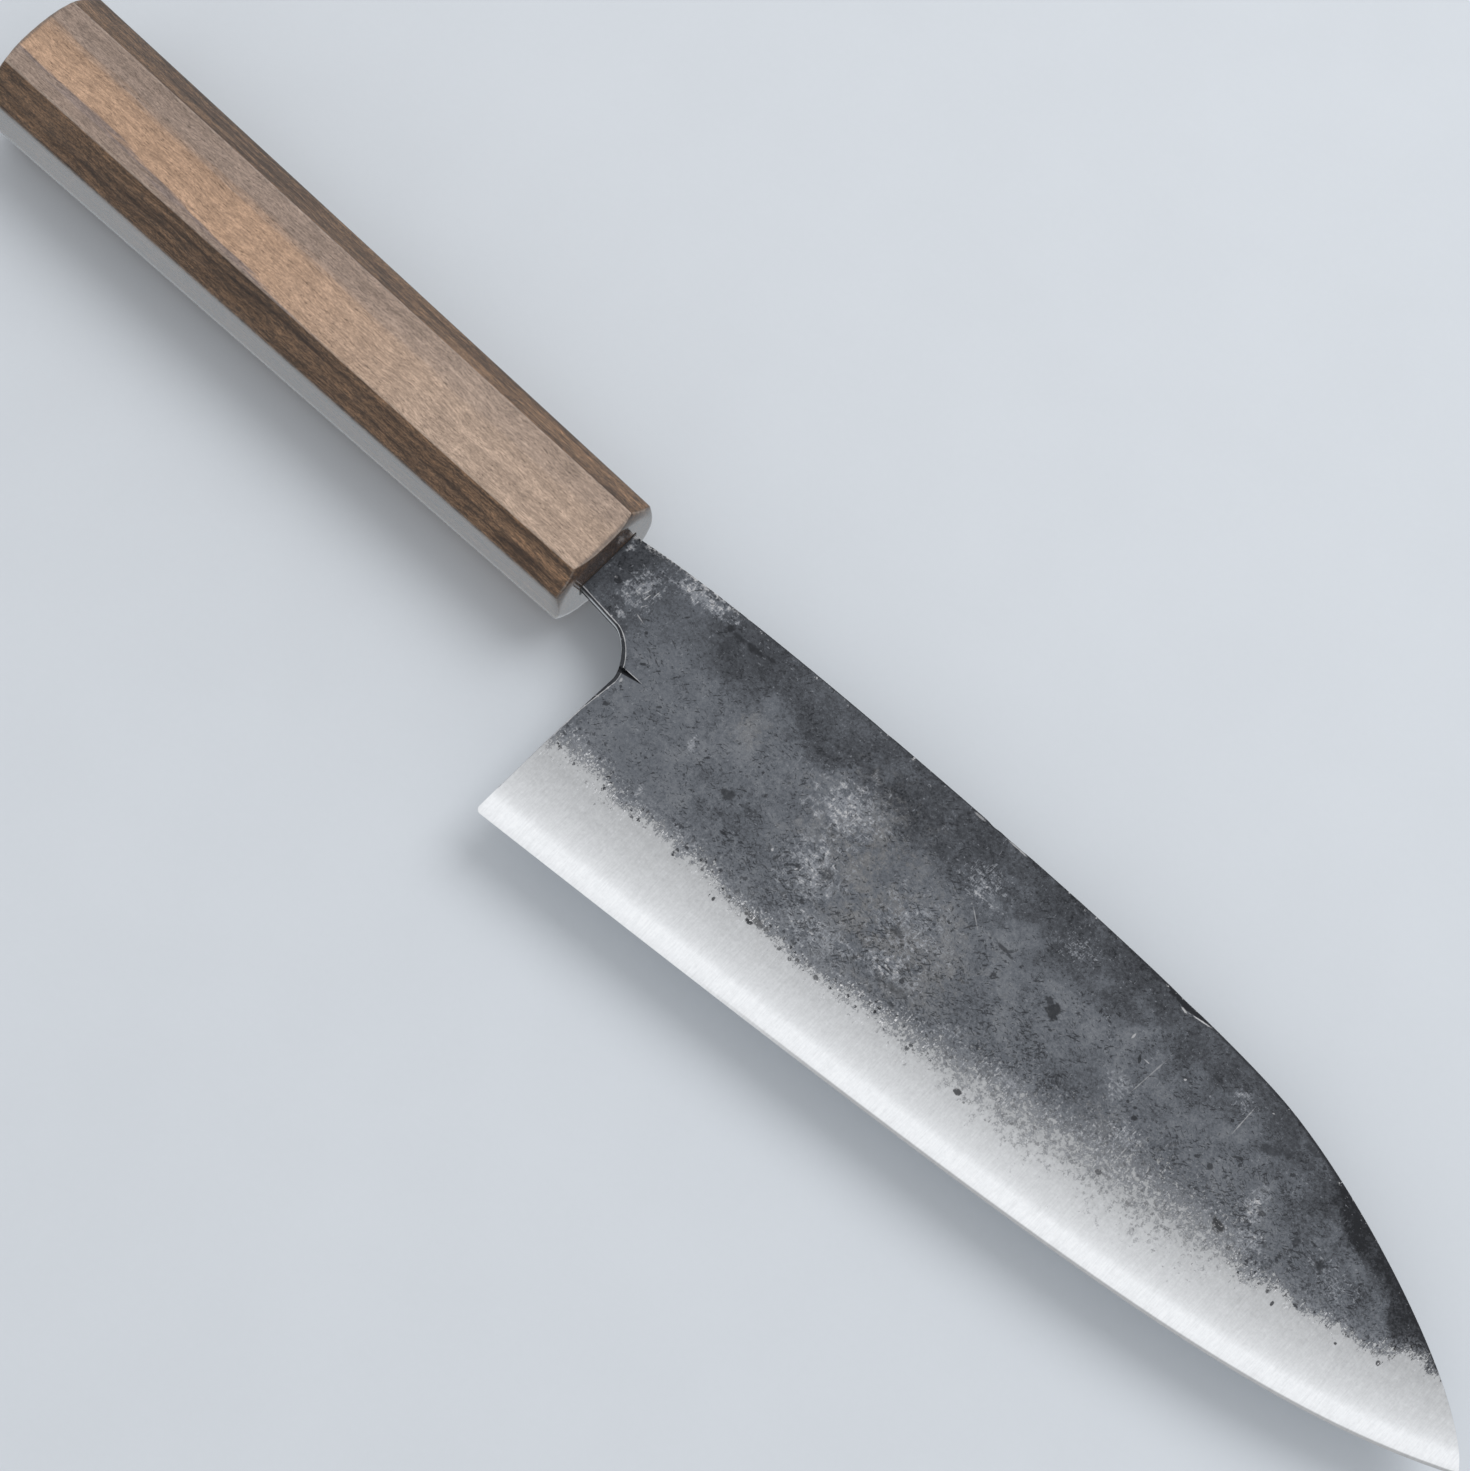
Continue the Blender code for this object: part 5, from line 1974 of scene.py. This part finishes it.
RIGHT_MARKS = FaceMarks(
    dark=marks(
        (46.3, -26.4, 0.25, 0.45, 0, 0.5, 0.9), (47.7, -24.6, 0.65, 0.4, 10, 0.5, 0.85),
        (51.2, -24.7, 0.7, 0.4, -5, 0.5, 0.85), (52.3, -25.3, 0.7, 0.45, 10, 0.4, 0.95),
        (54.9, -24.4, 0.8, 0.4, 0, 0.5, 0.8), (61.1, -24.8, 0.4, 0.35, 0, 0.5, 0.85),
        (64.6, -24.9, 0.25, 0.3, 0, 0.5, 0.85), (44.2, -22.6, 0.35, 0.35, 0, 0.5, 0.7),
        (40.6, -18.3, 0.9, 0.25, 5, 0.5, 0.8), (71.2, -18.8, 1.3, 0.6, -20, 0.7, 0.65),
        (75.0, -20.3, 1.1, 0.6, 10, 0.7, 0.7), (108.8, -7.5, 0.28, 0.28, 0, 0.4, 0.8),
        (110.2, -7.5, 0.28, 0.28, 0, 0.4, 0.8), (106.1, -1.8, 0.9, 0.3, -60, 0.5, 0.85),
        (114.0, -17.7, 0.9, 0.5, 10, 0.9, 0.6), (123.3, -6.5, 0.6, 0.5, 0, 0.5, 0.75),
        (121.4, 0.7, 0.3, 0.3, 0, 0.4, 0.75), (94.0, -7.4, 0.35, 0.25, 0, 0.4, 0.75),
        (95.9, -13.8, 0.5, 0.25, 15, 0.5, 0.7), (132.5, 5.3, 1.6, 0.9, -10, 0.8, 0.55),
        (130.6, 2.2, 0.6, 0.9, 20, 0.6, 0.6), (142.1, -15.2, 0.25, 0.45, 10, 0.4, 0.9),
        (140.6, -14.2, 0.5, 0.55, 0, 0.5, 0.9), (22.0, 5.1, 1.9, 0.55, 2, 0.7, 0.7),
        (25.2, 5.3, 2.3, 0.75, 6, 0.7, 0.8), (28.2, 5.9, 1.7, 0.40, 4, 0.7, 0.75),
        (20.3, 5.2, 0.8, 0.9, 0, 0.5, 0.85), (92.6, -5.0, 1.2, 1.5, 20, 0.4, 0.85),
        (91.2, -4.2, 0.9, 0.6, 0, 0.4, 0.75), (81.5, -3.1, 3.0, 0.35, -8, 0.6, 0.7),
        (82.2, -3.0, 1.4, 0.35, 50, 0.6, 0.6), (37.0, -13.6, 1.7, 0.9, 10, 0.6, 0.75),
        (55.5, -12.6, 1.4, 1.3, 0, 0.6, 0.6), (68.6, -11.8, 1.3, 0.8, -10, 0.5, 0.65),
        (74.0, -18.2, 3.4, 1.2, 5, 0.9, 0.55), (52.5, -24.6, 2.6, 0.6, -4, 0.5, 0.8),
        (90.4, -23.1, 0.60, 0.50, 20, 0.4, 0.9), (92.0, -23.7, 0.25, 0.25, 0, 0.4, 0.7),
        (111.1, -8.8, 0.55, 0.6, 0, 0.4, 0.85), (112.4, -18.0, 0.5, 0.5, 0, 0.4, 0.85),
        (129.2, -12.1, 1.6, 0.9, -25, 0.35, 0.95), (132.6, -13.5, 0.4, 0.4, 0, 0.4, 0.8),
        (152.1, -13.3, 0.28, 0.28, 0, 0.4, 0.9), (158.2, -11.3, 0.4, 0.4, 0, 0.4, 0.9),
        (128.5, 1.4, 3.6, 0.9, 28, 0.6, 0.6), (143.6, -6.6, 0.9, 1.2, 20, 0.5, 0.75),
        (139.0, -6.2, 0.7, 0.9, 0, 0.5, 0.7), (116.0, 3.8, 1.0, 0.5, 0, 0.5, 0.6),
        (105.8, 9.2, 5.2, 1.1, -3, 0.3, 0.95), (14.8, -7.7, 0.55, 0.35, 35, 0.4, 0.8),
        (21.0, -10.8, 0.7, 0.25, 40, 0.4, 0.7),
    ),
    light=marks(
        (8.1, 0.3, 0.12, 1.3, -10, 0.8, 1.0), (7.5, 0.9, 0.10, 1.0, -18, 0.8, 0.9),
        (8.8, 1.6, 0.10, 0.8, -5, 0.8, 0.8), (8.7, -1.0, 0.09, 0.9, -28, 0.8, 0.7),
        (6.8, -0.4, 0.08, 0.7, -45, 0.8, 0.7), (9.4, -2.8, 1.2, 0.12, -14, 0.9, 0.6),
        # The thin line at 15.2, -9.98 is a painted highlight along the nick's upper arris
        (14.1, -11.6, 0.28, 0.5, 10, 0.8, 0.6), (15.2, -9.98, 1.9, 0.08, 0, 0.5, 1.0),
        (108.6, -3.0, 0.13, 5.2, -6, 0.7, 0.35), (122.6, 1.6, 0.12, 3.0, 0, 0.7, 0.5),
        (75.2, -2.3, 2.4, 0.10, -38, 0.6, 0.45), (107.0, -1.3, 0.8, 0.12, 0, 0.5, 0.7),
        (103.3, 0.3, 0.15, 0.5, 0, 0.5, 0.7), (108.6, 8.50, 2.6, 0.15, 9, 0.6, 1.0),
        (106.2, 8.05, 1.1, 0.20, -8, 0.7, 0.9), (129.2, -17.7, 3.0, 0.25, 2, 0.8, 0.8),
        (65.8, 9.3, 1.2, 0.2, 0, 0.6, 0.5), (73.0, 9.5, 2.2, 0.18, 0, 0.6, 0.7),
    ),
    haze=marks(
        (13.5, 5.9, 9.5, 2.2, 8, 0.9, 1.0), (6.5, 0.5, 4.0, 6.0, -10, 1.0, 0.9),
        (7.0, -4.2, 1.6, 0.9, -30, 0.9, 0.9), (1.0, 4.6, 1.0, 1.4, 0, 0.9, 1.0),
        (28.2, -11.8, 1.0, 2.2, 25, 1.0, 0.95), (17.5, -23.0, 3.0, 1.2, 0, 1.0, 0.6),
        (27.6, -22.0, 1.3, 1.5, 0, 1.0, 1.0), (51.5, -3.5, 9.0, 7.0, 10, 1.0, 1.0),
        (54.0, -13.0, 8.0, 8.0, 30, 1.0, 0.9), (60.5, -20.0, 9.0, 5.0, 10, 1.0, 0.85),
        (73.0, 2.0, 6.0, 5.0, -30, 1.0, 0.7), (70.0, -10.0, 10.0, 8.0, 0, 1.0, 0.7),
        (71.5, -16.8, 8.5, 4.0, 6, 1.0, 0.95), (83.5, -17.5, 4.5, 2.2, 10, 1.0, 0.6),
        (89.0, 4.0, 5.0, 3.0, 15, 1.0, 0.55), (95.0, -17.0, 4.0, 2.0, 0, 1.0, 0.85),
        (106.0, -7.0, 4.0, 3.0, -20, 1.0, 0.70), (112.0, -11.5, 5.0, 3.2, -10, 1.0, 0.75),
        (121.0, 4.0, 4.0, 2.5, 0, 1.0, 0.60), (131.5, -6.5, 3.2, 4.0, 0, 1.0, 0.95),
        (134.0, -11.0, 4.0, 3.0, 0, 1.0, 0.80), (146.0, -7.0, 8.0, 4.0, -20, 1.0, 0.50),
    ),
    shade=marks(
        (38.0, -16.0, 12.0, 6.0, 0, 1.0, 0.55), (100.0, -12.0, 6.0, 3.0, -20, 1.0, 0.6),
        (150.0, -6.5, 9.0, 3.5, -25, 1.0, 0.8), (141.0, -3.0, 12.0, 8.0, -20, 1.0, 0.6),
    ),
    brown=marks(
        (57.0, -6.0, 14.0, 12.0, -20, 1.0, 1.0), (68.0, -12.0, 20.0, 13.0, -12, 1.0, 1.0),
        (33.0, -4.0, 6.0, 4.0, 0, 1.0, 0.6), (112.0, -13.0, 10.0, 4.0, -8, 1.0, 0.5),
    ),
)

LEFT_MARKS = FaceMarks(
    dark=marks(
        (34.0, -4.0, 2.2, 1.1, 30, 0.6, 0.75), (71.0, 3.0, 1.5, 1.7, 0, 0.4, 0.85),
        (103.0, -10.0, 1.2, 0.8, 20, 0.5, 0.8), (121.0, -3.0, 2.8, 0.9, -20, 0.6, 0.7),
    ),
    light=marks(
        (50.0, -8.0, 0.2, 3.6, 24, 0.6, 0.5),
    ),
    haze=marks(
        (15.0, 5.8, 7.0, 1.4, 6, 0.9, 0.9), (92.0, -12.0, 8.0, 5.0, 0, 1.0, 0.7),
        (45.0, -8.0, 10.0, 7.0, 20, 1.0, 0.7), (126.0, -10.0, 9.0, 4.0, 0, 1.0, 0.8),
    ),
    shade=marks(
        (70.0, -12.0, 16.0, 7.0, 0, 1.0, 0.8), (104.0, -6.0, 14.0, 6.0, 0, 1.0, 0.7),
    ),
    brown=marks(
        (66.0, -8.0, 24.0, 12.0, 12, 1.0, 0.9),
    ),
)


# ---------------------------------------------------------------------------------------------------
# The whole knife


def mouth_point() -> Vector:
    """Where the handle's axis leaves its front face, from the CAD nodes' boxes.

    Returns:
        The point in the frame, in metres.
    """
    low, high = (Vector(corner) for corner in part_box("handle"))
    core_low, core_high = (Vector(corner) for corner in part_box("core_steel"))
    return Vector((high.x, (low.y + high.y) / 2, (core_low.z + core_high.z) / 2))


def dress(piece: bpy.types.Object, material: bpy.types.Material, node: str) -> None:
    """Gives a piece its finish and its body, and hides the CAD node that it stands for.

    Args:
        piece: the piece.
        material: its finish.
        node: the CAD node that it stands for.
    """
    piece.data.materials.append(material)
    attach(piece, "root")
    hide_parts(node)
    LOG.info("%s stands for %s, %d faces", piece.name, node, len(piece.data.polygons))


def dress_node(node: str, material: bpy.types.Material) -> None:
    """Gives a CAD node, kept as it is, a finish of its own.

    Args:
        node: the node's name.
        material: its finish.
    """
    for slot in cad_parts[node].material_slots:
        slot.material = material
    LOG.info("%s keeps its CAD shape", node)


def main() -> None:
    """Builds the knife, piece by piece, and its stage."""
    logging.basicConfig(level=logging.INFO, format="%(name)s: %(message)s")
    origin = mouth_point()
    effects = Effects()
    blade, handle = Blade(), Handle()
    right = ForgedIron("forged iron right", (0.0, 0.0, 0.0), RIGHT_MARKS)
    left = ForgedIron("forged iron left", (300.0, 170.0, 90.0), LEFT_MARKS)
    bedding = Resin("bedding resin", (0.030, 0.018, 0.012), (0.070, 0.045, 0.030), 0.55)
    seal = Resin("seal wax", (0.010, 0.008, 0.007), (0.030, 0.024, 0.020), 0.40)
    core = blade.build_core(origin)
    dress(core, GroundSteel().material(effects), "core_steel")
    cladding = blade.build_cladding(Side.RIGHT, origin)
    dress(cladding, right.material(effects), "cladding_right")
    cladding = blade.build_cladding(Side.LEFT, origin)
    dress(cladding, left.material(effects), "cladding_left")
    dress(handle.build(origin), Walnut().material(effects), "handle")
    dress_node("tang_bedding", bedding.material(effects))
    dress_node("mouth_seal", seal.material(effects))
    Stage().build(effects)


if __name__ == "__main__":
    main()
